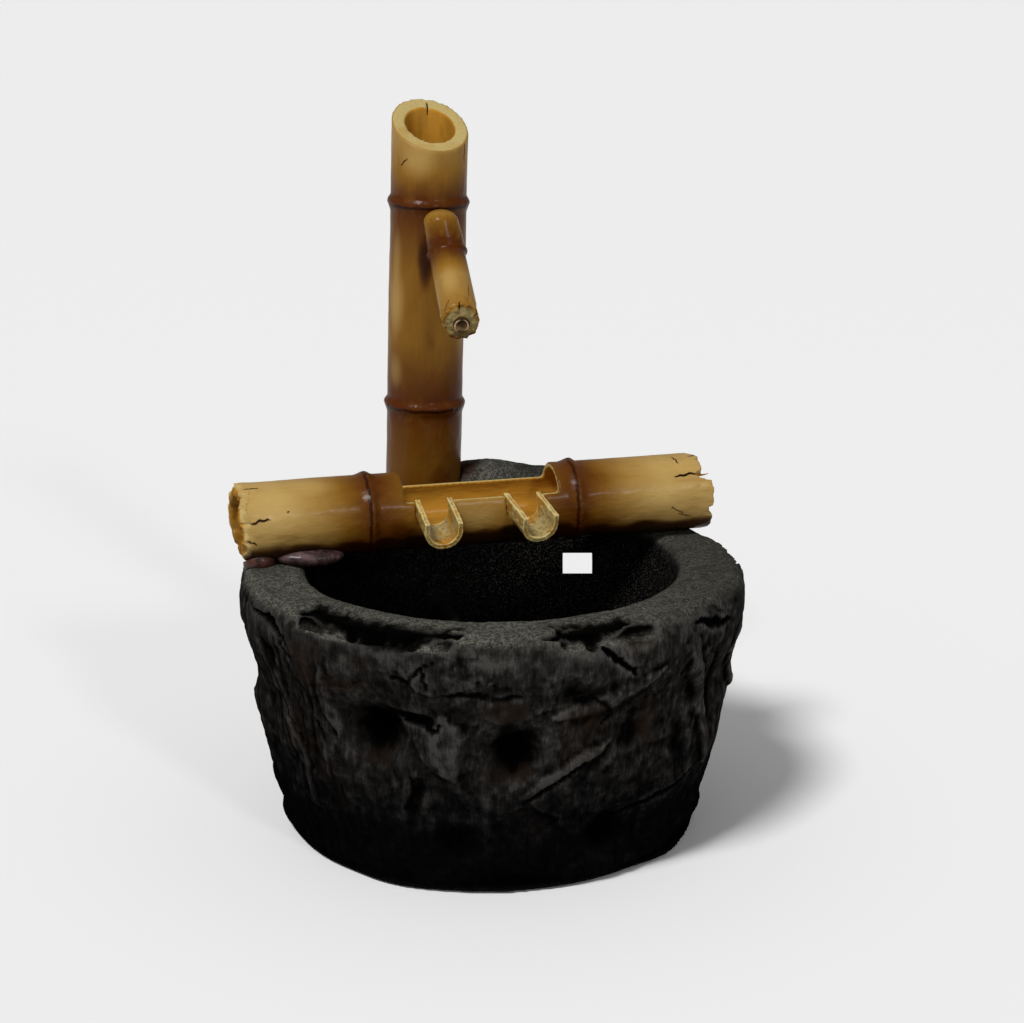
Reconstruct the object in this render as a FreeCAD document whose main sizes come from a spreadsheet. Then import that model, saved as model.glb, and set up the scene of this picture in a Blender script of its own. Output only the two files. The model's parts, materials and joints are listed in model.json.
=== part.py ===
import FreeCAD, Part
import math
import os
import Sketcher
from FreeCAD import Matrix, Placement, Rotation, Vector

# Cascading bamboo fountain: a rock basin, an upright bamboo post with a small branch spout,
# a bamboo trough that pours through two lips, and the pump that hides on the bowl's floor.
# Millimetres, +Z up, +X to the right, +Y to the back.
# The origin is on the ground, in the middle of the basin.

SIZES = [
    # Basin
    ("rim_height", 226.0, "top of the basin's rim above the ground"),
    ("shoulder_radius", 209.5, "widest line of the rim"),
    ("shoulder_drop", 23.0, "widest line below the rim's top"),
    ("shoulder_flare", 12.0, "widest line beyond the belly"),
    ("belly_height", 147.0, "height of the belly"),
    ("foot_inset", 43.5, "rock wall at the ground, inside the widest line"),
    ("crown_inset", 13.5, "end of the rim's round shoulder, inside the widest line"),
    ("rock_relief", 2.2, "depth of the waves in the rock wall"),
    ("rock_hollow", 12.0, "depth of the largest hollow in the rock wall"),
    ("undercut_radius", 4.5, "groove under the rim's edge, half its height"),
    ("undercut_inset", 4.5, "middle of that groove, inside the widest line"),
    ("undercut_drop", 8.0, "middle of that groove, below the rim's top"),
    ("rock_skin", 8.0, "thickness of the cast rock skin"),
    ("rim_thickness", 14.0, "depth of solid casting under the rim"),
    ("rim_width", 54.5, "from the widest line to the bowl's mouth"),
    ("mouth_round", 9.0, "rounding of the rim's inner edge"),
    ("bowl_floor_height", 30.0, "inside floor of the bowl"),
    ("bowl_slope", 49.0, "how far the bowl's wall leans in from rim to floor"),
    ("bowl_corner_round", 30.0, "rounding between wall and floor"),
    ("foot_ring_height", 14.0, "solid ring at the foot of the rock wall"),
    ("foot_ring_width", 19.0, "width of that ring"),
    ("base_ring_rise", 2.0, "how far the rubber ring stands out of the rock"),
    ("base_ring_recess", 1.6, "how deep it sits in the rock"),
    ("base_ring_width", 8.0, "width of the rubber ring"),
    ("base_ring_inset", 7.0, "rubber ring inside the rock wall's foot"),
    ("panel_thickness", 5.0, "plate that closes the underside"),
    ("panel_setback", 3.0, "plate above the rock's lower edge"),
    ("panel_gap", 0.5, "gap round the plate"),
    ("panel_boss_radius", 8.0, "bosses that take the panel's screws"),
    ("panel_boss_circle", 74.0, "radius of the circle of bosses"),
    ("screw_radius", 2.0, "panel screw's shank"),
    ("screw_head_radius", 4.2, "panel screw's head"),
    ("screw_head_height", 2.4, "height of that head"),
    ("screw_length", 14.0, "length under the head"),
    ("screw_fit", 0.1, "clearance round a screw's shank"),
    # Raised rock at the back
    ("mound_height", 31.0, "rise of the rock behind the bowl"),
    ("mound_inset", 28.5, "the line that it follows, inside the widest line"),
    ("mound_half_width", 33.0, "half its width"),
    ("mound_depth", 26.0, "how deep it is rooted in the rim"),
    # Outlet for the cord
    ("cord_hole_width", 26.8, "see-through hole in the back wall, width"),
    ("cord_hole_height", 17.8, "height across the hole"),
    ("cord_duct_wall", 4.0, "duct round the hole, between the two walls"),
    ("cord_hole_x", 75.5, "middle of the hole to the right"),
    ("cord_hole_inset", 33.0, "middle of the hole, inside the widest line"),
    ("cord_hole_drop", 53.7, "middle of the hole below the rim"),
    # Post
    ("post_radius", 33.5, "bamboo post"),
    ("post_wall", 8.5, "its wall"),
    ("post_x", -62.7, "axis of the post at its foot"),
    ("post_inset", 30.2, "axis of the post's foot, inside the widest line"),
    ("post_foot_rise", 10.0, "foot of the post above the rim, in its socket"),
    ("post_length", 326.0, "from the foot to the slanted top, on the axis"),
    ("lower_ring_rise", 84.0, "lower node ring above the post's foot"),
    ("upper_ring_rise", 261.5, "upper node ring above the post's foot"),
    ("ring_rise", 3.2, "a node ring above the bamboo"),
    ("ring_reach", 9.0, "length of a ring's flank"),
    ("septum", 7.0, "thickness of the wall inside a node"),
    ("post_rock_margin", 8.5, "rock beyond the post, round its foot"),
    ("post_rock_height", 9.0, "rock up the post, above its foot"),
    ("post_rock_depth", 70.0, "rock below the post's foot, tapering into the wall"),
    ("seat_gap", 0.1, "glue line under post, trough, lips and pebbles"),
    # Branch spout
    ("branch_radius", 16.4, "small branch at its end"),
    ("branch_root_radius", 14.8, "small branch at its upper end"),
    ("branch_ring_rise", 1.6, "its small node ring"),
    ("branch_root_right", 12.0, "root of the branch, right of the post's axis"),
    ("branch_root_forward", 42.0, "root, in front of the post's axis"),
    ("branch_root_drop", 7.5, "root, below the upper ring"),
    ("branch_node_right", 18.0, "small node, right of the post's axis"),
    ("branch_node_forward", 46.0, "small node, in front of the post's axis"),
    ("branch_node_drop", 39.0, "small node, below the upper ring"),
    ("branch_end_right", 32.9, "open end, right of the post's axis"),
    ("branch_end_forward", 122.0, "open end, in front of the post's axis"),
    ("branch_end_drop", 85.2, "open end, below the upper ring"),
    # Water hose
    ("hose_bore", 9.5, "hose, inside"),
    ("hose_outside", 12.7, "hose, outside"),
    ("hose_play", 0.5, "clearance round the hose"),
    # Trough
    ("trough_radius", 33.0, "bamboo trough"),
    ("trough_wall", 5.4, "its wall"),
    ("trough_end_wall", 9.0, "thicker wall of its two broken ends"),
    ("trough_sink", 0.4, "how deep it lies in the rim"),
    ("trough_left", 212.0, "left end from the middle of the trough"),
    ("trough_right", 195.0, "right end from the middle of the trough"),
    ("trough_x", -7.0, "middle of the trough to the right"),
    ("trough_y", 45.0, "middle of the trough to the back"),
    ("left_ring_place", 100.0, "left node ring, to the left of the middle"),
    ("right_ring_place", 76.0, "right node ring, to the right of the middle"),
    ("window_left", 73.0, "left end of the cut-out"),
    ("window_right", 58.0, "right end of the cut-out"),
    ("window_height", 14.0, "cut-out above the trough's axis"),
    ("upper_end_setback", 8.5, "upper part of the right end, set back"),
    ("ragged_depth", 8.0, "depth of the splits in the broken ends"),
    # Pouring lips
    ("lip_radius", 16.0, "half-pipe lip, outside"),
    ("lip_wall", 4.7, "its wall"),
    ("lip_side", 8.0, "straight side above the half pipe"),
    ("lip_length", 36.5, "from the trough's wall to the lip's front"),
    ("lip_left_place", 48.5, "left lip at the wall, to the left of the middle"),
    ("lip_right_place", 28.3, "right lip at the wall, to the right of the middle"),
    # Pebbles
    ("oval_pebble_length", 56.0, "oval pebble under the trough's left end"),
    ("oval_pebble_width", 30.0, "its width"),
    ("oval_pebble_height", 17.0, "its height"),
    ("small_pebble_length", 27.0, "round pebble at the trough's left end"),
    ("small_pebble_width", 26.0, "its width"),
    ("small_pebble_height", 24.0, "its height"),
    ("oval_pebble_inset", 60.1, "oval pebble inside the rim's widest line"),
    ("oval_pebble_forward", 11.0, "its middle, before the basin's middle"),
    ("oval_pebble_rise", 5.0, "its middle above the rim"),
    ("small_pebble_inset", 18.8, "round pebble inside the rim's widest line"),
    ("small_pebble_forward", 16.0, "its middle, before the basin's middle"),
    ("small_pebble_rise", 2.5, "its middle above the rim"),
    # Pump
    ("pump_side_inset", 50.0, "inside the floor's left edge; the pump's motor stands halfway to there"),
    ("pump_back_inset", 70.0, "pump's shaft, inside the back edge of the bowl's floor"),
    ("pump_width", 42.0, "pump's housing across the shaft"),
    ("pump_height", 50.0, "pump's housing, height"),
    ("pump_back", 34.0, "back of the housing behind the pump's middle"),
    ("pump_front", 12.0, "front of the housing before the pump's middle"),
    ("pump_round", 5.0, "rounding of the housing's long edges"),
    ("shaft_height", 32.0, "shaft above the housing's underside"),
    ("cup_height", 5.0, "suction cup under the housing"),
    ("cup_radius", 7.5, "suction cup, radius"),
    ("cup_stem_radius", 2.5, "suction cup's stem"),
    ("cup_stem_length", 2.2, "suction cup's stem"),
    ("chamber_radius", 14.0, "impeller chamber"),
    ("chamber_depth", 13.0, "impeller chamber, from the housing's front"),
    ("well_radius", 8.6, "well that the rotor turns in"),
    ("well_depth", 27.0, "well behind the chamber"),
    ("well_wall", 1.4, "wall of the well"),
    ("motor_room_width", 37.0, "room for the stator behind the well's wall"),
    ("motor_room_height", 45.0, "height of that room"),
    ("seal_thickness", 3.5, "resin seal that closes that room"),
    ("shaft_radius", 1.5, "ceramic shaft"),
    ("shaft_play", 0.06, "clearance of rotor and impeller on the shaft"),
    ("bush_radius", 3.8, "rubber bush behind the rotor"),
    ("bush_length", 3.0, "its length"),
    ("front_bush_radius", 2.6, "rubber bush in the volute cover"),
    ("magnet_radius", 8.0, "rotor magnet"),
    ("magnet_length", 22.0, "its length"),
    ("rotor_end_play", 0.4, "gap at each end of the rotor"),
    ("impeller_radius", 12.0, "impeller"),
    ("impeller_disc", 1.2, "its back disc"),
    ("vane_thickness", 1.3, "its vanes"),
    ("vane_height", 4.6, "height of its vanes"),
    ("hub_radius", 3.4, "its hub"),
    ("cover_radius", 15.8, "volute cover's flange"),
    ("cover_flange", 2.2, "thickness of that flange"),
    ("cover_spigot", 2.0, "cover's step into the chamber"),
    ("cover_play", 0.15, "clearance round that step"),
    ("boss_radius", 9.0, "cover's boss that carries the dial"),
    ("boss_height", 3.6, "height of the boss"),
    ("intake_radius", 6.4, "water way through the cover"),
    ("dial_play", 0.08, "clearance of the dial on the boss"),
    ("dial_radius", 12.5, "flow dial"),
    ("dial_face", 1.6, "thickness of the dial's face"),
    ("dial_lever", 3.4, "lever beyond the dial"),
    ("strainer_length", 14.0, "strainer cover before the housing"),
    ("strainer_wall", 1.6, "its wall"),
    ("strainer_lap", 5.0, "how far it laps over the housing's nose"),
    ("strainer_play", 0.2, "clearance on that nose"),
    ("slot_width", 2.2, "slots in the strainer"),
    ("slot_pitch", 4.6, "from slot to slot"),
    ("slot_height", 34.0, "height of the slots"),
    ("outlet_radius", 6.4, "pump's outlet pipe, outside"),
    ("outlet_bore", 4.2, "pump's outlet pipe, bore radius"),
    ("outlet_height", 8.0, "pump's outlet pipe above the housing"),
    ("outlet_place", 4.5, "outlet pipe before the pump's middle"),
    ("adapter_radius", 8.6, "outlet adapter's socket, outside"),
    ("adapter_play", 0.08, "clearance of that socket on the pipe"),
    ("barb_height", 13.0, "barbed tail of the adapter"),
    ("barb_bore", 3.2, "water way through the tail"),
    ("barb_play", 0.05, "clearance of the tail in the hose"),
    ("gland_radius", 4.6, "cord gland"),
    ("gland_bore", 2.8, "cord gland's bore radius"),
    ("gland_length", 9.0, "cord gland behind the seal"),
    ("stator_width", 28.0, "iron core"),
    ("stator_length", 16.0, "iron core along the shaft"),
    ("stator_leg", 6.0, "width of a leg of the core"),
    ("pole_gap", 2.0, "gap between the poles"),
    ("coil_build", 3.6, "thickness of a winding"),
    ("coil_height", 9.0, "height of a winding"),
    ("partition", 2.0, "wall between the chamber and the motor room"),
    ("motor_room_roof", 2.0, "housing above the motor room"),
    ("cup_spread_back", 26.0, "rear suction cups behind the pump's middle"),
    ("cup_spread_front", 4.0, "front suction cups before the pump's middle"),
    ("cup_spread_side", 13.0, "suction cups to each side"),
    ("gland_drop", 15.0, "cord gland below the shaft"),
    ("gland_taper", 1.0, "taper at the gland's end"),
    ("stator_place", 17.0, "middle of the iron core behind the pump's middle"),
    ("stator_drop", 26.0, "iron core below the shaft"),
    ("stator_rise", 14.5, "iron core above the shaft"),
    ("coil_window", 13.0, "height of the window for the windings"),
    ("coil_lift", 0.3, "windings above the yoke"),
    ("front_bush_depth", 5.9, "how deep the shaft sits in the front bush"),
    ("impeller_gap", 0.6, "impeller before the chamber's back wall"),
    ("vane_root", 0.5, "vanes drawn in at the hub and the rim"),
    ("intake_hub", 3.9, "hub inside the water way"),
    ("cover_end", 1.2, "end wall of the cover's boss"),
    ("dial_gap", 0.2, "dial's face before the boss"),
    ("adapter_rest", 0.3, "gap under the adapter and under its plate"),
    ("adapter_plate", 2.2, "plate between the adapter's socket and its tail"),
    ("barb_step", 0.6, "height of a barb"),
    ("grommet_wall", 2.4, "rubber grommet where the hose enters the wall"),
]

# Directions in degrees
TROUGH_TURN = 14.5
POST_LEAN = 1.65
LIP_SLOPE = 14.0
LIP_RIGHT_TURN = 8.0
CORD_HOLE_SLOPE = -17.3
MOUND_START = 40.0
MOUND_END = 128.0
OVAL_PEBBLE_TURN = 8.0
SMALL_PEBBLE_TURN = 30.0
SCREW_COUNT = 6
VANE_COUNT = 6
SLOT_COUNT = 7
SIDE_SLOT_COUNT = 2

WHOLE_TURN = 360.0


class Size(float):
    """A length in millimetres that keeps the formula which gives it."""

    def __new__(cls, number, formula):
        item = super().__new__(cls, number)
        item.formula = formula
        return item

    def _join(self, other, sign, number):
        right = other.formula if isinstance(other, Size) else "(%r)" % float(other)
        return Size(number, "(%s %s %s)" % (self.formula, sign, right))

    def __add__(self, other):
        return self._join(other, "+", float(self) + float(other))

    def __sub__(self, other):
        return self._join(other, "-", float(self) - float(other))

    def __mul__(self, other):
        return self._join(other, "*", float(self) * float(other))

    def __truediv__(self, other):
        return self._join(other, "/", float(self) / float(other))

    def __neg__(self):
        return Size(-float(self), "(-1 * %s)" % self.formula)


class Sheet:
    """The spreadsheet with the driving sizes, read as attributes."""

    def __init__(self, doc):
        self.page = doc.addObject("Spreadsheet::Sheet", "Sizes")
        for row, (name, number, note) in enumerate(SIZES, start=1):
            self.page.set("A%d" % row, name)
            self.page.set("B%d" % row, str(number))
            self.page.setAlias("B%d" % row, name)
            self.page.set("C%d" % row, note)
        doc.recompute()

    def __getattr__(self, name):
        return Size(float(self.page.get(name)), "Sizes." + name)


doc = FreeCAD.newDocument("bamboo_fountain")
size = Sheet(doc)
NODES = {}

UP = Vector(0, 0, 1)


# Helpers for the document's objects

def bind(item, name, value):
    """Give a property its value, tied to the sheet where the value has a formula."""
    if isinstance(value, Size):
        item.setExpression(name, value.formula)
    else:
        setattr(item, name, value)


def primitive(kind, name, place, **lengths):
    item = doc.addObject("Part::" + kind, name)
    for key, value in lengths.items():
        bind(item, key, value)
    item.Placement = place
    return item


def cylinder(name, radius, height, place=Placement()):
    return primitive("Cylinder", name, place, Radius=radius, Height=height)


def box(name, length, width, height, corner, place=Placement()):
    """A box whose low corner is at the given point of the given placement."""
    return primitive("Box", name, place * Placement(corner, Rotation()), Length=length, Width=width, Height=height)


def half_space(name, reach, place):
    """A block above the placement's own XY plane, as wide and high as the given reach."""
    return box(name, reach * 2, reach * 2, reach, Vector(-reach, -reach, 0), place)


def shaped(name, shape):
    item = doc.addObject("Part::Feature", name)
    item.Shape = shape
    return item


def fuse(name, *items):
    item = doc.addObject("Part::MultiFuse", name)
    item.Shapes = list(items)
    return item


def cut(name, base, *tools):
    item = doc.addObject("Part::Cut", name)
    item.Base = base
    item.Tool = tools[0] if len(tools) == 1 else fuse(name + "_tools", *tools)
    return item


def node(name, item):
    """File the finished sub-part under its own name."""
    item.Label = name
    NODES[name] = item
    return item


def frame(point, across, upward, along):
    """The placement whose own X, Y and Z are the three given directions."""
    turn = Matrix(across.x, upward.x, along.x, point.x,
                  across.y, upward.y, along.y, point.y,
                  across.z, upward.z, along.z, point.z,
                  0, 0, 0, 1)
    return Placement(turn)


def start_body(name, place):
    body = doc.addObject("PartDesign::Body", name)
    body.AllowCompound = True
    body.Placement = place
    return body


def sketch_on(body, name, role, start=0.0):
    """An empty sketch on one of the body's own planes, or at a distance from it."""
    sketch = body.newObject("Sketcher::SketchObject", name)
    plane = [item for item in body.Origin.OriginFeatures if item.Role == role][0]
    sketch.AttachmentSupport = [(plane, "")]
    sketch.MapMode = "FlatFace"
    sketch.AttachmentOffset = Placement(Vector(0, 0, start), Rotation())
    if isinstance(start, Size):
        sketch.setExpression("AttachmentOffset.Base.z", start.formula)
    return sketch


def fix(sketch, kind, *terms):
    """Add a dimension whose last term is its value."""
    value = terms[-1]
    index = sketch.addConstraint(Sketcher.Constraint(kind, *terms[:-1], float(value)))
    if isinstance(value, Size):
        sketch.setExpression("Constraints[%d]" % index, value.formula)


def flat(point):
    return Vector(float(point[0]), float(point[1]), 0)


def outline(sketch, corners):
    """A closed outline through corners (x, y), or (x, y, radius) where the corner is rounded."""
    count = len(corners)
    spots = [flat(corner) for corner in corners]
    arcs = {}
    for index, corner in enumerate(corners):
        if len(corner) == 3:
            arcs[index] = corner_arc(spots[index - 1], spots[index], spots[(index + 1) % count], float(corner[2]))
    lines = []
    for index in range(count):
        after = (index + 1) % count
        first = arcs[index]["leave"] if index in arcs else spots[index]
        last = arcs[after]["arrive"] if after in arcs else spots[after]
        lines.append(sketch.addGeometry(Part.LineSegment(first, last), False))
    for index, corner in enumerate(corners):
        before = lines[index - 1]
        line = lines[index]
        if index not in arcs:
            sketch.addConstraint(Sketcher.Constraint("Coincident", before, 2, line, 1))
            fix(sketch, "DistanceX", -1, 1, line, 1, corner[0])
            fix(sketch, "DistanceY", -1, 1, line, 1, corner[1])
            continue
        arc = sketch.addGeometry(arcs[index]["curve"], False)
        arrive_end, leave_end = (1, 2) if arcs[index]["left"] else (2, 1)
        sketch.addConstraint(Sketcher.Constraint("Tangent", before, 2, arc, arrive_end))
        sketch.addConstraint(Sketcher.Constraint("Tangent", arc, leave_end, line, 1))
        fix(sketch, "Radius", arc, corner[2])
        spot = sketch.addGeometry(Part.Point(spots[index]), True)
        sketch.addConstraint(Sketcher.Constraint("PointOnObject", spot, 1, before))
        sketch.addConstraint(Sketcher.Constraint("PointOnObject", spot, 1, line))
        fix(sketch, "DistanceX", -1, 1, spot, 1, corner[0])
        fix(sketch, "DistanceY", -1, 1, spot, 1, corner[1])


def corner_arc(before, corner, after, radius):
    """The arc that rounds a corner, and where the outline meets and leaves it."""
    back = (before - corner).normalize()
    ahead = (after - corner).normalize()
    half = back.getAngle(ahead) / 2
    reach = radius / math.tan(half)
    arrive = corner + back * reach
    leave = corner + ahead * reach
    centre = corner + (back + ahead).normalize() * (radius / math.sin(half))
    left = (back * -1).cross(ahead).z > 0
    first, last = (arrive, leave) if left else (leave, arrive)
    start = math.atan2(first.y - centre.y, first.x - centre.x)
    end = math.atan2(last.y - centre.y, last.x - centre.x)
    if end < start:
        end += 2 * math.pi
    curve = Part.ArcOfCircle(Part.Circle(centre, UP, radius), start, end)
    return {"curve": curve, "arrive": arrive, "leave": leave, "left": left}


def revolve(body, kind, name, corners):
    sketch = sketch_on(body, name + "_outline", "XZ_Plane")
    outline(sketch, corners)
    turn = body.newObject("PartDesign::" + kind, name)
    turn.Profile = sketch
    turn.ReferenceAxis = (sketch, ["V_Axis"])
    turn.Angle = WHOLE_TURN
    return turn


def turned(name, corners, place=Placement()):
    """A body turned about its own Z axis from an outline of (radius, height)."""
    body = start_body(name, place)
    revolve(body, "Revolution", name + "_turn", corners)
    return body


def raise_pad(body, name, sketch, length):
    pad = body.newObject("PartDesign::Pad", name)
    pad.Profile = sketch
    bind(pad, "Length", length)
    return pad


def padded(name, corners, start, length, place=Placement()):
    """A body raised from an outline in its own XY plane."""
    body = start_body(name, place)
    sketch = sketch_on(body, name + "_outline", "XY_Plane", start)
    outline(sketch, corners)
    raise_pad(body, name + "_pad", sketch, length)
    return body


def disc_pad(body, name, reach, radius, start, length):
    """A round pad whose centre lies on the body's X axis."""
    sketch = sketch_on(body, name + "_outline", "XY_Plane", start)
    circle = sketch.addGeometry(Part.Circle(Vector(reach, 0, 0), UP, radius), False)
    fix(sketch, "Radius", circle, radius)
    fix(sketch, "DistanceX", -1, 1, circle, 3, reach)
    sketch.addConstraint(Sketcher.Constraint("PointOnObject", circle, 3, -1))
    return raise_pad(body, name, sketch, length), sketch


def polar(body, name, made, sketch, count):
    """Repeat the given features of a body round its own Z axis."""
    pattern = body.newObject("PartDesign::PolarPattern", name)
    pattern.Originals = made
    pattern.Axis = (sketch, ["N_Axis"])
    pattern.Angle = WHOLE_TURN
    pattern.Occurrences = count
    body.Tip = pattern
    return body


def ring_of(name, count, pads, place=Placement()):
    """Round pieces in a circle: each pad is (circle radius, radius, start, length)."""
    body = start_body(name, place)
    made = []
    for index, pad in enumerate(pads):
        feature, sketch = disc_pad(body, "%s_disc_%d" % (name, index + 1), *pad)
        made.append(feature)
    return polar(body, name + "_circle", made, sketch, count)


def rectangle(left, right, low, high, radius=None):
    corners = [(left, low), (right, low), (right, high), (left, high)]
    return corners if radius is None else [corner + (radius,) for corner in corners]


# Rock basin

SHOULDER_HEIGHT = size.rim_height - size.shoulder_drop
CEILING = size.rim_height - size.rim_thickness
BELLY_RADIUS = size.shoulder_radius - size.shoulder_flare
CROWN_RADIUS = size.shoulder_radius - size.crown_inset
FOOT_RADIUS = size.shoulder_radius - size.foot_inset
FOOT_RING_BORE = FOOT_RADIUS - size.foot_ring_width
MOUTH_RADIUS = size.shoulder_radius - size.rim_width
FLOOR_RADIUS = MOUTH_RADIUS - size.bowl_slope
MOUND_CIRCLE = size.shoulder_radius - size.mound_inset
PANEL_SEAT = size.base_ring_rise + size.panel_setback
PUMP_X = (size.pump_side_inset - FLOOR_RADIUS) / 2
PUMP_Y = FLOOR_RADIUS - size.pump_back_inset

# Waves round the rock wall: turns per circle, share of the relief, phase, drift up the wall
ROCK_WAVES = [(3, 0.9, 0.6, 1.1), (5, 0.7, 2.1, -1.6), (8, 0.55, 4.0, 2.3), (13, 0.35, 1.2, -3.0)]
# Hollows in it: degrees to the right of the front, share of the height, half width in degrees,
# half height as a share, share of the depth
ROCK_HOLLOWS = [
    (-26, 0.63, 13, 0.17, 1.0), (5, 0.56, 14, 0.17, 0.6), (32, 0.26, 14, 0.16, 0.5), (-50, 0.4, 14, 0.18, 0.35),
    (64, 0.6, 13, 0.22, 0.6), (90, 0.4, 14, 0.17, 0.75), (118, 0.64, 14, 0.18, 0.85), (140, 0.32, 14, 0.17, 0.6),
    (176, 0.55, 14, 0.18, 0.8), (-160, 0.28, 14, 0.17, 0.55), (-132, 0.6, 14, 0.18, 0.85),
    (-104, 0.38, 14, 0.18, 0.7), (-80, 0.68, 13, 0.16, 0.55),
]
# Grooves under the rim's edge: start and end in degrees to the right of the front
UNDERCUTS = [(-46.0, -8.0), (15.0, 38.0), (88.0, 122.0), (-150.0, -122.0)]
ROCK_POINTS = 48
ROCK_STEPS_TO_BELLY = 6
ROCK_STEPS_TO_SHOULDER = 3
ROCK_STEPS_TO_RIM = 4


def rock_radius(height):
    """Mean radius of the rock wall: a convex flank, a flare to the shoulder, a rounded crown."""
    if height <= size.belly_height:
        share = max(height, 0.0) / size.belly_height
        return FOOT_RADIUS + (BELLY_RADIUS - FOOT_RADIUS) * math.sin(share * math.pi / 2)
    if height <= SHOULDER_HEIGHT:
        share = (height - size.belly_height) / (SHOULDER_HEIGHT - size.belly_height)
        return BELLY_RADIUS + (size.shoulder_radius - BELLY_RADIUS) * share * share * (3 - 2 * share)
    share = min(1.0, (height - SHOULDER_HEIGHT) / (size.rim_height - SHOULDER_HEIGHT))
    drop = 1 - math.sqrt(1 - share * share)
    return size.shoulder_radius - (size.shoulder_radius - CROWN_RADIUS) * drop


def rock_wave(angle, height):
    climb = height / size.rim_height
    wave = sum(share * math.cos(turns * angle + phase + drift * climb)
               for turns, share, phase, drift in ROCK_WAVES)
    return size.rock_relief * wave


def rock_dip(angle, height):
    """How deep the hollows are at a place on the rock wall."""
    dip = 0.0
    for turn, climb, half_turn, half_climb, share in ROCK_HOLLOWS:
        aside = math.remainder(math.degrees(angle) + WHOLE_TURN / 4 - turn, WHOLE_TURN) / half_turn
        reach = math.hypot(aside, (height / size.rim_height - climb) / half_climb)
        if reach < 1:
            dip += share * (1 + math.cos(math.pi * reach)) / 2
    return size.rock_hollow * dip


def rock_section(height, inset):
    points = []
    for step in range(ROCK_POINTS):
        angle = 2 * math.pi * step / ROCK_POINTS
        reach = rock_radius(height) + rock_wave(angle, height) - rock_dip(angle, height) - inset
        points.append(Vector(reach * math.cos(angle), reach * math.sin(angle), height))
    curve = Part.BSplineCurve()
    curve.interpolate(Points=points, PeriodicFlag=True)
    return Part.Wire([curve.toShape()])


def rock_heights(low, high):
    """Heights of the sections, closer together on the rounded crown."""
    heights = []
    for step in range(ROCK_STEPS_TO_BELLY):
        heights.append(low + (size.belly_height - low) * step / ROCK_STEPS_TO_BELLY)
    for step in range(ROCK_STEPS_TO_SHOULDER):
        rise = SHOULDER_HEIGHT - size.belly_height
        heights.append(size.belly_height + rise * step / ROCK_STEPS_TO_SHOULDER)
    for step in range(ROCK_STEPS_TO_RIM + 1):
        rise = size.rim_height - SHOULDER_HEIGHT
        heights.append(SHOULDER_HEIGHT + rise * math.sin(math.pi / 2 * step / ROCK_STEPS_TO_RIM))
    return [height for height in heights if height < high - 1] + [float(high)]


def rock_solid(low, high, inset):
    sections = [rock_section(float(height), float(inset)) for height in rock_heights(low, high)]
    return Part.makeLoft(sections, True, False)


MOUND_SECTIONS = 9
MOUND_POINTS = 20
MOUND_SQUARENESS = 0.75
MOUND_FULLNESS = 0.6
MOUND_SKEW = 0.93


def mound_section(share):
    """One upright slice of the raised rock, a rounded block across the rim."""
    turn = math.radians(MOUND_START + (MOUND_END - MOUND_START) * share)
    swell = math.sin(math.pi * share ** MOUND_SKEW) ** MOUND_FULLNESS if 0 < share < 1 else 0.0
    low = size.rim_height - size.mound_depth
    high = size.rim_height - 2 * size.rock_relief + (size.mound_height + 2 * size.rock_relief) * swell
    half_width = size.mound_half_width * (0.72 + 0.28 * swell)
    points = []
    for step in range(MOUND_POINTS):
        angle = 2 * math.pi * step / MOUND_POINTS
        side = math.copysign(abs(math.cos(angle)) ** MOUND_SQUARENESS, math.cos(angle))
        rise = math.copysign(abs(math.sin(angle)) ** MOUND_SQUARENESS, math.sin(angle))
        reach = MOUND_CIRCLE + half_width * side
        height = (low + high) / 2 + (high - low) / 2 * rise
        points.append(Vector(reach * math.cos(turn), reach * math.sin(turn), height))
    curve = Part.BSplineCurve()
    curve.interpolate(Points=points, PeriodicFlag=True)
    return Part.Wire([curve.toShape()])


def rim_point(x, inset, rise):
    """A point at the back, at a place to the right and a distance inside the widest line."""
    reach = size.shoulder_radius - inset
    return Vector(x, math.sqrt(reach ** 2 - x ** 2), size.rim_height + rise)


def mound_solid():
    sections = [mound_section(step / (MOUND_SECTIONS - 1)) for step in range(MOUND_SECTIONS)]
    return Part.makeLoft(sections, True, False)


def bowl_corners(skin, ledge):
    """Outline of the bowl's hollow, grown by the given skin, with a ledge level with the rim."""
    floor = size.bowl_floor_height - skin
    corners = [(0.0, floor), (FLOOR_RADIUS + skin, floor, size.bowl_corner_round + skin)]
    if ledge:
        corners.append((MOUTH_RADIUS + skin, size.rim_height, size.mouth_round))
        corners.append((MOUTH_RADIUS + skin + ledge, size.rim_height))
        corners.append((MOUTH_RADIUS + skin + ledge, size.rim_height + ledge))
        corners.append((0.0, size.rim_height + ledge))
    else:
        corners.append((MOUTH_RADIUS + skin, size.rim_height))
        corners.append((0.0, size.rim_height))
    return corners


def bowl_radius(height):
    """Radius of the bowl's sloping wall at a height."""
    share = (height - size.bowl_floor_height) / (size.rim_height - size.bowl_floor_height)
    return FLOOR_RADIUS + (MOUTH_RADIUS - FLOOR_RADIUS) * share


# Post, branch and hose: the places that they share

POST_FOOT = rim_point(size.post_x, size.post_inset, size.post_foot_rise)


def post_point(rise, right=0.0, forward=0.0):
    """A point beside the post's leaning axis, at a height above the post's foot."""
    lean = rise * math.tan(math.radians(POST_LEAN))
    return POST_FOOT + Vector(lean + right, -forward, rise)


BRANCH_ROOT = post_point(size.upper_ring_rise - size.branch_root_drop,
                         size.branch_root_right, size.branch_root_forward)
BRANCH_NODE = post_point(size.upper_ring_rise - size.branch_node_drop,
                         size.branch_node_right, size.branch_node_forward)
BRANCH_END = post_point(size.upper_ring_rise - size.branch_end_drop,
                        size.branch_end_right, size.branch_end_forward)
BRANCH_RUN = (BRANCH_END - BRANCH_NODE).normalize()
BRANCH_CUT_DROP = 15.0

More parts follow.
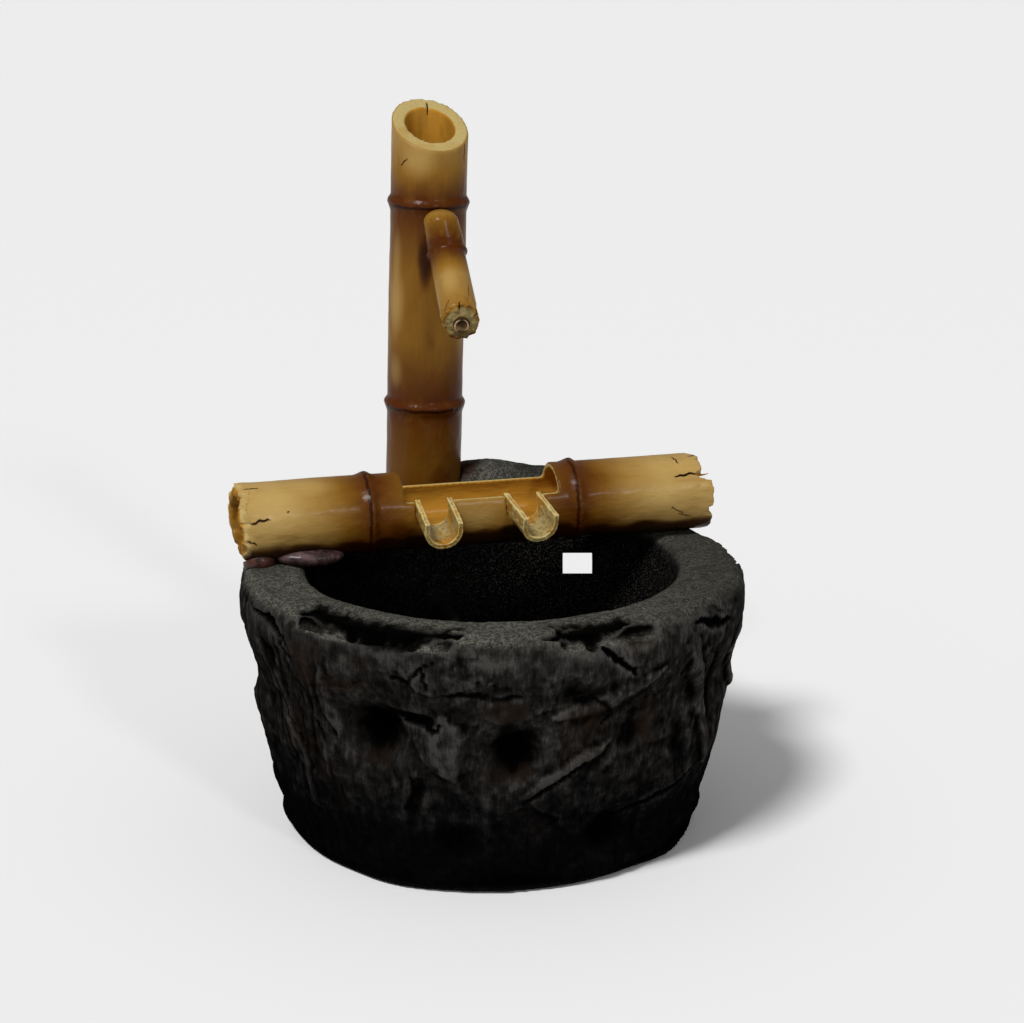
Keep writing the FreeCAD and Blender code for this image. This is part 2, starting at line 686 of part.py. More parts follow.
# The hose's own points, chosen by hand, with the radius of each bend
HOSE_DROP_AT_END = 2.0
HOSE_PAST_NODE = 21.5
HOSE_TOP_RISE = 24.2
HOSE_TOP_BACK = 42.0
HOSE_TOP_BENDS = (37.5, 36.0)
HOSE_PUMP_RISE = 37.5
HOSE_PUMP_BEND = 36.0
HOSE_WALL_BEND = 31.0
HOSE_WALL_RIGHT = 4.7
HOSE_WALL_FORWARD = 5.0
HOSE_PROUD = 0.8


def pump_top():
    return (size.bowl_floor_height + size.cup_height + size.pump_height
            + size.outlet_height + size.adapter_rest + size.adapter_plate)


def hose_points():
    low = Vector(PUMP_X + size.outlet_place, PUMP_Y, pump_top())
    turn = Vector(low.x, low.y, low.z + size.barb_height + HOSE_PUMP_RISE)
    wall = Vector(POST_FOOT.x + HOSE_WALL_RIGHT, POST_FOOT.y - HOSE_WALL_FORWARD, turn.z)
    end = BRANCH_END - Vector(0, 0, HOSE_DROP_AT_END)
    back = (BRANCH_NODE - BRANCH_END)
    level = Vector(back.x, back.y, 0).normalize()
    crown = BRANCH_NODE + back.normalize() * HOSE_PAST_NODE
    riser = crown + level * HOSE_TOP_BACK - Vector(0, 0, HOSE_TOP_RISE)
    return [low, turn, wall, riser, crown, end]


def route(points, bends):
    """Straight runs joined by tangent arcs, and the length of the whole."""
    edges = []
    start = points[0]
    for index, bend in enumerate(bends, start=1):
        back = (points[index - 1] - points[index]).normalize()
        ahead = (points[index + 1] - points[index]).normalize()
        half = back.getAngle(ahead) / 2
        reach = bend / math.tan(half)
        arrive = points[index] + back * reach
        leave = points[index] + ahead * reach
        middle = points[index] + (back + ahead).normalize() * (bend / math.sin(half) - bend)
        edges.append(Part.LineSegment(start, arrive).toShape())
        edges.append(Part.Arc(arrive, middle, leave).toShape())
        start = leave
    edges.append(Part.LineSegment(start, points[-1]).toShape())
    return Part.Wire(edges)


def pipe(path, radius):
    """A round solid along a path."""
    start = path.Edges[0]
    at = start.valueAt(start.FirstParameter)
    along = start.tangentAt(start.FirstParameter)
    ring = Part.Wire([Part.makeCircle(radius, at, along)])
    return path.makePipeShell([ring], True, False)


HOSE_BENDS = (HOSE_PUMP_BEND, HOSE_WALL_BEND) + HOSE_TOP_BENDS


def hose_path():
    return route(hose_points(), HOSE_BENDS)


def wall_crossing():
    """Where the hose's level run meets the bowl's wall."""
    _, turn, wall = hose_points()[:3]
    run = (wall - turn).normalize()
    flat_turn = Vector(turn.x, turn.y, 0)
    middle = flat_turn.dot(run)
    radius = bowl_radius(turn.z)
    reach = -middle + math.sqrt(middle * middle - flat_turn.dot(flat_turn) + radius * radius)
    return turn + run * reach, run


# Trough and lips: the places that they share

TROUGH_ALONG = Vector(math.cos(math.radians(TROUGH_TURN)), math.sin(math.radians(TROUGH_TURN)), 0)
TROUGH_FORWARD = Vector(TROUGH_ALONG.y, -TROUGH_ALONG.x, 0)
TROUGH_MIDDLE = Vector(size.trough_x, size.trough_y, size.rim_height + size.trough_radius - size.trough_sink)
TROUGH_PLACE = frame(TROUGH_MIDDLE, TROUGH_FORWARD * -1, UP, TROUGH_ALONG)


def lip_place(along, turn):
    """The lip's own frame: Z runs out and down, Y is square to it, and the origin is on its top."""
    sideways = math.radians(turn)
    slope = math.radians(LIP_SLOPE)
    level = TROUGH_FORWARD * math.cos(sideways) + TROUGH_ALONG * math.sin(sideways)
    outward = level * math.cos(slope) - UP * math.sin(slope)
    upward = UP * math.cos(slope) + level * math.sin(slope)
    wall = math.sqrt(size.trough_radius ** 2 - size.window_height ** 2)
    point = TROUGH_MIDDLE + TROUGH_ALONG * along + TROUGH_FORWARD * wall + UP * float(size.window_height)
    return frame(point, upward.cross(outward), upward, outward)


LIP_PLACES = {
    "left": lip_place(-size.lip_left_place, 0.0),
    "right": lip_place(size.lip_right_place, LIP_RIGHT_TURN),
}


# Pump: the frame on its shaft, with Z towards the strainer, X across and Y up

SHAFT_PLACE = frame(Vector(PUMP_X, PUMP_Y, size.bowl_floor_height + size.cup_height + size.shaft_height),
                    Vector(0, 1, 0), UP, Vector(1, 0, 0))
OUTLET_PLACE = Placement(Vector(PUMP_X + size.outlet_place, PUMP_Y,
                                size.bowl_floor_height + size.cup_height + size.pump_height), Rotation())

# Sub-parts: the stone and bamboo

def trough_core(name, clearance):
    """A plain cylinder along the whole trough, larger or smaller than it by the clearance."""
    start = TROUGH_MIDDLE - TROUGH_ALONG * float(size.trough_left)
    place = Placement(start, Rotation(UP, TROUGH_ALONG))
    return cylinder(name, size.trough_radius + clearance, size.trough_left + size.trough_right, place)


def post_frame():
    lean = Rotation(Vector(0, 1, 0), POST_LEAN)
    return Placement(POST_FOOT, lean)


def cord_hole(name, margin, length):
    """A block along the cord's way through the back wall."""
    wide = size.cord_hole_width + margin * 2
    tall = size.cord_hole_height + margin * 2
    middle = rim_point(size.cord_hole_x, size.cord_hole_inset, -size.cord_hole_drop)
    place = Placement(middle, Rotation(Vector(1, 0, 0), CORD_HOLE_SLOPE))
    return box(name, wide, length, tall, Vector(-wide / 2, -length / 2, -tall / 2), place)


def grommet_place():
    point, run = wall_crossing()
    return Placement(point, Rotation(UP, run))


def post_rock():
    """Rock that swells out of the rim and carries the post's foot."""
    wide = size.post_radius + size.post_rock_margin
    low = -size.post_rock_depth
    top = size.post_rock_height
    corners = [(0.0, low), (size.post_radius / 3, low), (wide, low / 3, size.post_radius / 3),
               (size.post_radius + size.post_rock_margin / 2, top, size.post_rock_margin / 3),
               (size.post_radius / 2, top), (0.0, top)]
    return turned("post_rock", corners, post_frame())


def undercut(number, start, end):
    """A groove under the rim's edge."""
    place = Placement(Vector(0, 0, size.rim_height - size.undercut_drop), Rotation(UP, start - WHOLE_TURN / 4))
    return primitive("Torus", "undercut_%d" % number, place, Radius1=size.shoulder_radius - size.undercut_inset,
                     Radius2=size.undercut_radius, Angle3=end - start)


def stone():
    """The rock with its bowl, the raised rock behind and the rock at the post's foot, all solid below."""
    rock = shaped("rock_block", rock_solid(size.base_ring_rise, size.rim_height, 0.0))
    bowl = turned("bowl_hollow", bowl_corners(0.0, size.mouth_round * 3))
    grooves = [undercut(number, start, end) for number, (start, end) in enumerate(UNDERCUTS, start=1)]
    rim = shaped("raised_rock", mound_solid())
    return fuse("stone", cut("hollowed_rock", rock, bowl, *grooves), rim, post_rock())


def hose_bore(name, play):
    return shaped(name, pipe(hose_path(), size.hose_outside / 2 + play))


def cord_way(name):
    """The see-through hole, all the way through both walls."""
    return cord_hole(name, 0.0, size.rim_width + size.bowl_slope)


def bowl_jacket(name, gap):
    """The filled outside of the bowl, up to the underside of the rim."""
    skin = size.rock_skin + gap
    lid = (MOUTH_RADIUS + skin) * 2
    whole = turned(name + "_whole", bowl_corners(skin, 0))
    above = box(name + "_lid", lid, lid, size.rim_height, Vector(-lid / 2, -lid / 2, CEILING + gap - size.seat_gap))
    return cut(name, whole, above)


def basin_shell(rock):
    """The outer wall, hollow below, with the rim and all that stands on it."""
    wall_room = shaped("wall_room", rock_solid(size.foot_ring_height, CEILING, size.rock_skin))
    foot_opening = cylinder("foot_opening", FOOT_RING_BORE, size.foot_ring_height)
    socket = cylinder("post_socket", size.post_radius + size.seat_gap, size.mound_height * 2, post_frame())
    saddle = trough_core("trough_saddle", size.seat_gap)
    return cut("basin_shell", rock, wall_room, foot_opening, bowl_jacket("bowl_room", size.seat_gap),
               cord_way("shell_cord_way"), hose_bore("shell_hose_way", size.hose_play), socket, saddle,
               base_ring_body("base_ring_seat", size.seat_gap))


def bowl_liner(rock):
    """The bowl's own casting, glued under the rim, with the bosses for the panel's screws."""
    panel_top = PANEL_SEAT + size.panel_thickness
    skin = doc.addObject("Part::MultiCommon", "bowl_skin")
    skin.Shapes = [rock, bowl_jacket("bowl_jacket", 0.0)]
    boss_height = size.bowl_floor_height - size.rock_skin / 2 - panel_top
    bosses = ring_of("panel_bosses", SCREW_COUNT,
                     [(size.panel_boss_circle, size.panel_boss_radius, panel_top, boss_height)])
    point, run = wall_crossing()
    port_start = Placement(point - run * float(size.rock_skin), Rotation(UP, run))
    port = cylinder("hose_port", grommet_radius(), size.rock_skin * 3, port_start)
    screw_holes = ring_of("screw_holes", SCREW_COUNT,
                          [(size.panel_boss_circle, size.screw_radius + size.screw_fit, panel_top,
                            size.screw_length - size.panel_thickness + size.screw_radius)])
    return cut("bowl_liner", fuse("bossed_bowl", skin, bosses), cord_way("liner_cord_way"),
               hose_bore("liner_hose_way", size.hose_play), port, screw_holes)


def cord_duct():
    """The duct between the bowl and the outer wall, round the see-through hole."""
    tube = cord_hole("duct_block", size.cord_duct_wall, size.rim_width + size.bowl_slope)
    room = shaped("duct_room", rock_solid(size.foot_ring_height, CEILING, size.rock_skin + size.seat_gap))
    between = doc.addObject("Part::MultiCommon", "duct_between")
    between.Shapes = [tube, room]
    return cut("cord_duct", between, bowl_jacket("duct_bowl_side", size.seat_gap), cord_way("duct_cord_way"))


def grommet_radius():
    return size.hose_outside / 2 + size.hose_play + size.grommet_wall


def base_panel():
    body = start_body("base_panel", Placement())
    disc_pad(body, "panel_disc", 0.0, FOOT_RING_BORE - size.panel_gap, PANEL_SEAT, size.panel_thickness)
    holes = ring_of("panel_holes", SCREW_COUNT,
                    [(size.panel_boss_circle, size.screw_radius + size.screw_fit, PANEL_SEAT,
                      size.panel_thickness)])
    return cut("base_panel_drilled", body, holes)


def panel_screws():
    return ring_of("panel_screws", SCREW_COUNT, [
        (size.panel_boss_circle, size.screw_radius, PANEL_SEAT, size.screw_length),
        (size.panel_boss_circle, size.screw_head_radius, PANEL_SEAT - size.screw_head_height,
         size.screw_head_height),
    ])


def base_ring_body(name, gap):
    """The rubber ring that the basin stands on; the groove for it is larger by the gap."""
    outer = FOOT_RADIUS - size.base_ring_inset + gap
    inner = FOOT_RADIUS - size.base_ring_inset - size.base_ring_width - gap
    top = size.base_ring_rise + size.base_ring_recess + gap
    return turned(name, [(inner, 0.0), (outer, 0.0), (outer, top), (inner, top)])


def ringed(radius, start, end, rings):
    """Outline of a solid bamboo culm with its raised node rings."""
    corners = [(0.0, start), (radius, start)]
    for ring in rings:
        corners.append((radius, ring - size.ring_reach))
        corners.append((radius + size.ring_rise, ring, size.ring_rise))
        corners.append((radius, ring + size.ring_reach / 2))
    return corners + [(radius, end), (0.0, end)]


POST_CUT_BACK = 0.537
POST_CUT_LEFT = 0.22
# Splits in the post's top: direction round the post in degrees, share of their full depth
POST_SPLITS = [(-52.0, 1.0), (98.0, 0.6), (214.0, 0.45)]
SPLIT_DEPTH_SHARE = 2.6
SPLIT_WIDTH_SHARE = 0.22


def post_culm():
    lower = size.lower_ring_rise
    upper = size.upper_ring_rise
    reach = size.post_radius * 2
    length = size.post_length + size.post_radius
    half = size.septum / 2
    room = size.post_radius - size.post_wall
    place = post_frame()
    body = turned("post_stock", ringed(size.post_radius, 0.0, length, [lower, upper]), place)
    foot_room = [(0.0, -1.0), (room, -1.0), (room, lower - half, half), (0.0, lower - half)]
    middle_room = [(0.0, lower + half), (room, lower + half, half), (room, upper - half, half), (0.0, upper - half)]
    top_room = [(0.0, upper + half), (room, upper + half, half), (room, length + 1), (0.0, length + 1)]
    for name, corners in (("foot_room", foot_room), ("middle_room", middle_room), ("top_room", top_room)):
        body.Tip = revolve(body, "Groove", name, corners)

    top = Vector(0, 0, size.post_length)
    slant = Vector(POST_CUT_LEFT, -POST_CUT_BACK, 1).normalize()
    lid = half_space("post_slant", reach, Placement(place.multVec(top), Rotation(UP, slant)))
    splits = []
    for index, (turn, share) in enumerate(POST_SPLITS):
        depth = size.ragged_depth * SPLIT_DEPTH_SHARE * share
        width = size.ragged_depth * SPLIT_WIDTH_SHARE
        sideways = Placement(top, Rotation(UP, turn))
        drop = -depth - size.post_radius * (POST_CUT_LEFT * math.cos(math.radians(turn))
                                            - POST_CUT_BACK * math.sin(math.radians(turn)))
        splits.append(box("post_split_%d" % (index + 1), size.post_radius, width, reach,
                          Vector(size.post_radius / 2, -width / 2, drop), place * sideways))
    return cut("post_culm", body, lid, hose_bore("post_hose_way", size.hose_play), *splits)


def limb(start, end, start_radius, end_radius):
    return Part.makeCone(start_radius, end_radius, (end - start).Length, start, end - start)


def branch_cut_place(beyond):
    """The plane of the branch's open end, more upright than square across it."""
    level = Vector(BRANCH_RUN.x, BRANCH_RUN.y, 0).normalize()
    drop = math.radians(BRANCH_CUT_DROP)
    facing = level * math.cos(drop) - UP * math.sin(drop)
    return Placement(BRANCH_END + facing * beyond, Rotation(UP, facing))


def branch_spout():
    """The small branch: a stub down the post's front, a node, and a spout that leans out."""
    past = BRANCH_END + BRANCH_RUN * float(size.branch_radius)
    stub = limb(BRANCH_ROOT, BRANCH_NODE, size.branch_root_radius, size.branch_radius)
    knee = Part.makeSphere(size.branch_radius, BRANCH_NODE)
    shoulder = Part.makeSphere(size.branch_root_radius, BRANCH_ROOT)
    spout = limb(BRANCH_NODE, past, size.branch_radius - size.branch_ring_rise / 2, size.branch_radius)
    middle_way = ((BRANCH_NODE - BRANCH_ROOT).normalize() + BRANCH_RUN).normalize()
    ring = Part.makeTorus(size.branch_radius - size.branch_ring_rise, size.branch_ring_rise * 2,
                          BRANCH_NODE, middle_way)
    whole = shaped("branch_whole", shoulder.multiFuse([stub, knee, spout, ring]))
    post_side = turned("branch_post_side", ringed(size.post_radius + size.seat_gap, 0.0, size.post_length,
                                                  [size.upper_ring_rise]), post_frame())
    end = half_space("branch_end_cut", size.branch_radius * 2, branch_cut_place(0.0))
    return cut("branch_spout", whole, post_side, end, hose_bore("branch_hose_way", size.barb_play))


def water_hose():
    outside = hose_bore("hose_body", 0.0)
    inside = shaped("hose_hollow", pipe(hose_path(), size.hose_bore / 2))
    end = half_space("hose_end_cut", size.hose_outside, branch_cut_place(HOSE_PROUD))
    return cut("water_hose", outside, inside, end)


def hose_grommet():
    """Rubber sleeve in the bowl's wall, with a lip on the bowl's side."""
    bore = size.hose_outside / 2 + size.screw_fit
    body = grommet_radius() - size.screw_fit
    lip = body + size.grommet_wall
    half = size.rock_skin
    corners = [(bore, -half), (lip, -half), (lip, size.grommet_wall - half, size.screw_head_height / 3),
               (body, size.grommet_wall - half), (body, half), (bore, half)]
    return turned("hose_grommet", corners, grommet_place())


# Splits in the trough's ends: direction round it in degrees (0 at the back, 90 on top, 180 in
# front), share of their full depth, share of their full width
LEFT_SPLITS = [(168.0, 0.8, 0.7), (200.0, 0.5, 1.2), (120.0, 0.6, 0.8), (250.0, 1.0, 1.0), (300.0, 0.5, 1.0),
               (20.0, 0.7, 0.7)]
RIGHT_SPLITS = [(143.0, 2.0, 1.1), (195.0, 0.9, 1.0), (110.0, 0.6, 0.8), (60.0, 0.8, 0.7), (320.0, 0.7, 1.0),
                (250.0, 0.9, 0.8)]


def end_splits(name, end, outward, splits):
    """Wedges that open towards the broken end."""
    wedges = []
    for index, (turn, depth_share, width_share) in enumerate(splits):
        depth = size.ragged_depth * depth_share
        half = size.ragged_depth * width_share / 3
        past = size.ragged_depth
        tip = Vector(0, 0, end - outward * depth)
        low = Vector(0, -half * 2, end + outward * past)
        high = Vector(0, half * 2, end + outward * past)
        face = Part.Face(Part.makePolygon([tip, low, high, tip]))
        wedge = face.extrude(Vector(size.trough_radius * 1.2, 0, 0))
        wedge.Placement = TROUGH_PLACE * Placement(Vector(), Rotation(UP, turn)) * wedge.Placement
        wedges.append(shaped("%s_%d" % (name, index + 1), wedge))
    return wedges


def trough_culm():
    left = -size.trough_left
    right = size.trough_right
    left_ring = -size.left_ring_place
    right_ring = size.right_ring_place
    half = size.septum / 2
    channel = size.trough_radius - size.trough_wall
    end_room = size.trough_radius - size.trough_end_wall
    body = turned("trough_stock", ringed(size.trough_radius, left, right, [left_ring, right_ring]), TROUGH_PLACE)
    left_room = [(0.0, left - 1), (end_room, left - 1), (end_room, left_ring - half, half), (0.0, left_ring - half)]
    middle = [(0.0, left_ring + half), (channel, left_ring + half, half), (channel, right_ring - half, half),
              (0.0, right_ring - half)]
    right_room = [(0.0, right_ring + half), (end_room, right_ring + half, half), (end_room, right + 1),
                  (0.0, right + 1)]
    for name, corners in (("left_room", left_room), ("channel", middle), ("right_room", right_room)):
        body.Tip = revolve(body, "Groove", name, corners)

    reach = size.trough_radius * 2
    window = box("trough_window", reach * 2, reach, size.window_left + size.window_right,
                 Vector(-reach, size.window_height, -size.window_left), TROUGH_PLACE)
    setback = box("trough_setback", reach * 2, reach, size.trough_right,
                  Vector(-reach, size.trough_radius * 0.6, right - size.upper_end_setback), TROUGH_PLACE)
    notches = [lip_stock("lip_notch_" + side, place, size.seat_gap, reach)
               for side, place in LIP_PLACES.items()]
    splits = end_splits("left_split", float(left), -1, LEFT_SPLITS)
    splits += end_splits("right_split", float(right), 1, RIGHT_SPLITS)
    return cut("trough_culm", body, window, setback, *notches, *splits)


# Share of a lip's half width that its round takes, and how far it reaches back through the trough's wall
LIP_ROUND_SHARE = 0.97
LIP_INNER_END = size.trough_wall * 3


def lip_stock(name, place, clearance, rise):
    """The filled outline of a lip, from inside the trough's wall to beyond its front."""
    radius = size.lip_radius + clearance
    low = -size.lip_side - radius
    rounding = radius * LIP_ROUND_SHARE
    corners = [(-radius, low, rounding), (radius, low, rounding), (radius, rise), (-radius, rise)]
    return padded(name, corners, -LIP_INNER_END, LIP_INNER_END + size.lip_length, place)


def trough_lip(side):
    place = LIP_PLACES[side]
    outer = size.lip_radius
    inner = size.lip_radius - size.lip_wall
    low = -size.lip_side - outer
    floor = -size.lip_side - inner
    corners = [(-outer, low, outer * LIP_ROUND_SHARE), (outer, low, outer * LIP_ROUND_SHARE), (outer, 0.0),
               (inner, 0.0), (inner, floor, inner * LIP_ROUND_SHARE), (-inner, floor, inner * LIP_ROUND_SHARE),
               (-inner, 0.0), (-outer, 0.0)]
    body = padded("lip_stock_" + side, corners, -LIP_INNER_END, LIP_INNER_END + size.lip_length, place)
    return cut("trough_lip_" + side, body, trough_core("lip_hollow_" + side, -size.trough_wall))


def pebble(name, length, width, height, spot, turn, basin):
    """A smooth river pebble, fitted under the trough and down onto the rim."""
    inset, forward, rise = spot
    reach = size.shoulder_radius - inset
    middle = Vector(-math.sqrt(reach ** 2 - forward ** 2), -forward, size.rim_height + rise)
    whole = primitive("Ellipsoid", name + "_whole", Placement(middle, Rotation(UP, turn)),
                      Radius1=height / 2, Radius2=length / 2, Radius3=width / 2)
    return cut(name, whole, trough_core(name + "_under_trough", size.seat_gap * 2), basin)


# Sub-parts: the pump


def pump_outline(inset):
    """The housing's outline across the shaft, drawn in by the given amount."""
    half = size.pump_width / 2 - inset
    return rectangle(-half, half, -size.shaft_height + inset, size.pump_height - size.shaft_height - inset,
                     size.pump_round - inset)


def motor_room_outline(inset):
    half = size.motor_room_width / 2 - inset
    top = size.pump_height - size.shaft_height - size.motor_room_roof
    return rectangle(-half, half, top - size.motor_room_height + inset, top - inset)


def shaft_disc(name, radius, start, end):
    return cylinder(name, radius, end - start, SHAFT_PLACE * Placement(Vector(0, 0, float(start)), Rotation()))


def cup_spots():
    """The four suction cups: along the shaft and across it."""
    return [(along, side) for along in (-size.cup_spread_back, size.cup_spread_front)
            for side in (-size.cup_spread_side, size.cup_spread_side)]


CHAMBER_BACK = size.pump_front - size.chamber_depth
PARTITION_BACK = CHAMBER_BACK - size.partition
WELL_BACK = CHAMBER_BACK - size.well_depth
SEAL_FRONT = -size.pump_back + size.seal_thickness
NOSE_START = size.pump_front - size.strainer_lap
COVER_FRONT = size.pump_front + size.cover_flange + size.boss_height
FRONT_BUSH_BACK = size.pump_front - size.cover_spigot + size.shaft_play


def pump_housing():
    nose = size.strainer_wall + size.strainer_play
    main = padded("housing_main", pump_outline(0.0), -size.pump_back, size.pump_back + NOSE_START, SHAFT_PLACE)
    front = padded("housing_nose", pump_outline(nose), NOSE_START, size.strainer_lap, SHAFT_PLACE)
    pipe_out = cylinder("outlet_pipe", size.outlet_radius, size.outlet_height, OUTLET_PLACE)
    room = padded("motor_room", motor_room_outline(0.0), -size.pump_back, size.pump_back + PARTITION_BACK,
                  SHAFT_PLACE)
    well_tube = shaft_disc("well_tube", size.well_radius + size.well_wall, WELL_BACK - size.well_wall, PARTITION_BACK)
    well = shaft_disc("well", size.well_radius, WELL_BACK, CHAMBER_BACK)
    chamber = shaft_disc("chamber", size.chamber_radius, CHAMBER_BACK, size.pump_front)
    roof = size.pump_height - size.shaft_height - size.chamber_radius
    reach = roof + size.outlet_bore
    water_way = cylinder("outlet_way", size.outlet_bore, reach + size.outlet_height,
                         OUTLET_PLACE * Placement(Vector(0, 0, -float(reach)), Rotation()))
    hollow = cut("motor_hollow", room, well_tube)
    stems = []
    for index, (along, side) in enumerate(cup_spots()):
        spot = SHAFT_PLACE.multVec(Vector(side, -size.shaft_height, along))
        stems.append(cylinder("stem_hole_%d" % (index + 1), size.cup_stem_radius + size.screw_fit,
                              size.cup_stem_length, Placement(spot, Rotation())))
    return cut("pump_housing", fuse("housing_solid", main, front, pipe_out),
               hollow, well, chamber, water_way, *stems)


def motor_seal():
    plate = padded("seal_plate", motor_room_outline(size.seat_gap), -size.pump_back, size.seal_thickness, SHAFT_PLACE)
    hole = cylinder("seal_hole", size.gland_radius + size.seat_gap, size.seal_thickness, gland_place())
    return cut("motor_seal", plate, hole)


def gland_place():
    return SHAFT_PLACE * Placement(Vector(0, -size.gland_drop, -size.pump_back), Rotation())


def cord_gland():
    """Rubber sleeve for the mains cord, through the seal and out behind the pump."""
    low = -size.gland_length
    neck = size.gland_radius - size.gland_taper
    corners = [(size.gland_bore, low), (neck, low, size.gland_taper / 2), (size.gland_radius, -size.gland_taper * 2),
               (size.gland_radius, size.seal_thickness), (size.gland_bore, size.seal_thickness)]
    return turned("cord_gland", corners, gland_place())


def stator_core():
    """Iron core: a yoke below, two legs for the windings, and two poles round the well."""
    half = size.stator_width / 2
    start = -(size.stator_place + size.stator_length / 2)
    core = padded("core_block", rectangle(-half, half, -size.stator_drop, size.stator_rise), start,
                  size.stator_length, SHAFT_PLACE)
    bore = shaft_disc("core_bore", size.well_radius + size.well_wall + size.seat_gap, start,
                      start + size.stator_length)
    inner = half - size.stator_leg
    low = -size.stator_drop + size.stator_leg
    high = low + size.coil_window
    window = padded("core_window", rectangle(-inner, inner, low, high), start, size.stator_length, SHAFT_PLACE)
    gap = rectangle(-size.pole_gap / 2, size.pole_gap / 2, size.well_radius, size.stator_rise)
    slit = padded("pole_gap_slot", gap, start, size.stator_length, SHAFT_PLACE)
    return cut("stator_core", core, bore, window, slit)


def coil(name, side):
    """A winding on one leg of the core."""
    inner = size.stator_width / 2 - size.stator_leg
    near = inner - size.coil_build
    far = size.stator_width / 2 + size.coil_build
    low = -size.stator_drop + size.stator_leg + size.coil_lift
    start = -(size.stator_place + size.stator_length / 2) - size.coil_build
    deep = size.stator_length + size.coil_build * 2
    play = size.seat_gap
    left, right = (near, far) if side > 0 else (-far, -near)
    leg_left, leg_right = (inner - play, size.stator_width / 2 + play)
    if side < 0:
        leg_left, leg_right = -leg_right, -leg_left
    winding = padded(name + "_block", rectangle(left, right, low, low + size.coil_height), start, deep, SHAFT_PLACE)
    leg = padded(name + "_leg_room", rectangle(leg_left, leg_right, low, low + size.coil_height),
                 start + size.coil_build - play, size.stator_length + play * 2, SHAFT_PLACE)
    return cut(name, winding, leg)


def rotor_shaft():
    tip = FRONT_BUSH_BACK + size.front_bush_depth
    return shaft_disc("rotor_shaft", size.shaft_radius, WELL_BACK, tip)


def bush_rear():
    corners = [(size.shaft_radius, 0.0), (size.bush_radius, 0.0), (size.bush_radius, size.bush_length),
               (size.shaft_radius, size.bush_length)]
    return turned("bush_rear", corners, SHAFT_PLACE * Placement(Vector(0, 0, float(WELL_BACK)), Rotation()))


def rear_collar():
    """Ring on the well's end wall that holds the rear bush."""
    corners = [(size.bush_radius + size.seat_gap, 0.0), (size.bush_radius + size.well_wall, 0.0),
               (size.bush_radius + size.well_wall, size.bush_length - size.rotor_end_play),
               (size.bush_radius + size.seat_gap, size.bush_length - size.rotor_end_play)]
    return turned("rear_collar", corners, SHAFT_PLACE * Placement(Vector(0, 0, float(WELL_BACK)), Rotation()))


def bush_front():
    tip = FRONT_BUSH_BACK + size.front_bush_depth
    end = COVER_FRONT - size.cover_end
    corners = [(size.shaft_radius, FRONT_BUSH_BACK), (size.front_bush_radius, FRONT_BUSH_BACK),
               (size.front_bush_radius, end), (0.0, end), (0.0, tip), (size.shaft_radius, tip)]
    return turned("bush_front", corners, SHAFT_PLACE)


def rotor_magnet():
    start = WELL_BACK + size.bush_length + size.rotor_end_play
    bore = size.shaft_radius + size.shaft_play
    edge = size.rotor_end_play
    corners = [(bore, start), (size.magnet_radius - edge, start), (size.magnet_radius, start + edge),
               (size.magnet_radius, start + size.magnet_length - edge),
               (size.magnet_radius - edge, start + size.magnet_length), (bore, start + size.magnet_length)]
    return turned("rotor_magnet", corners, SHAFT_PLACE)


def impeller():
    """Hub, back disc and straight vanes, to run the same way round in either direction."""
    start = WELL_BACK + size.bush_length + size.rotor_end_play + size.magnet_length
    end = FRONT_BUSH_BACK - size.rotor_end_play
    bore = size.shaft_radius + size.shaft_play
    disc = CHAMBER_BACK + size.impeller_gap
    corners = [(bore, start), (size.hub_radius, start), (size.hub_radius, disc), (size.impeller_radius, disc),
               (size.impeller_radius, disc + size.impeller_disc), (size.hub_radius, disc + size.impeller_disc),
               (size.hub_radius, end), (bore, end)]
    body = turned("impeller", corners, SHAFT_PLACE)
    sketch = sketch_on(body, "vane_outline", "XY_Plane", disc + size.impeller_disc)
    outline(sketch, rectangle(size.hub_radius - size.vane_root, size.impeller_radius - size.vane_root,
                              -size.vane_thickness / 2, size.vane_thickness / 2))
    vane = raise_pad(body, "vane", sketch, size.vane_height)
    return polar(body, "vanes", [vane], sketch, VANE_COUNT)


def windows(name, start, end):
    """Two quarter-circle water windows round the shaft."""
    tools = []
    for index, turn in enumerate((0.0, WHOLE_TURN / 2)):
        place = SHAFT_PLACE * Placement(Vector(0, 0, float(start)), Rotation(UP, turn))
        sector = primitive("Cylinder", "%s_sector_%d" % (name, index + 1), place,
                           Radius=size.intake_radius, Height=end - start, Angle=WHOLE_TURN / 4)
        tools.append(sector)
    core = shaft_disc(name + "_core", size.intake_hub, start, end)
    return cut(name, fuse(name + "_sectors", *tools), core)


def volute_cover():
    spigot_back = size.pump_front - size.cover_spigot
    spigot = size.chamber_radius - size.cover_play
    flange_front = size.pump_front + size.cover_flange
    end = COVER_FRONT - size.cover_end
    bush = size.front_bush_radius + size.seat_gap / 5
    corners = [(size.intake_radius, spigot_back), (spigot, spigot_back), (spigot, size.pump_front),
               (size.cover_radius, size.pump_front), (size.cover_radius, flange_front),
               (size.boss_radius, flange_front), (size.boss_radius, COVER_FRONT), (0.0, COVER_FRONT), (0.0, end),
               (bush, end), (bush, FRONT_BUSH_BACK + size.rotor_end_play),
               (size.intake_hub, FRONT_BUSH_BACK + size.rotor_end_play), (size.intake_hub, end),
               (size.intake_radius, end)]
    body = turned("cover_turned", corners, SHAFT_PLACE)
    return cut("volute_cover", body, windows("cover_windows", end, COVER_FRONT))


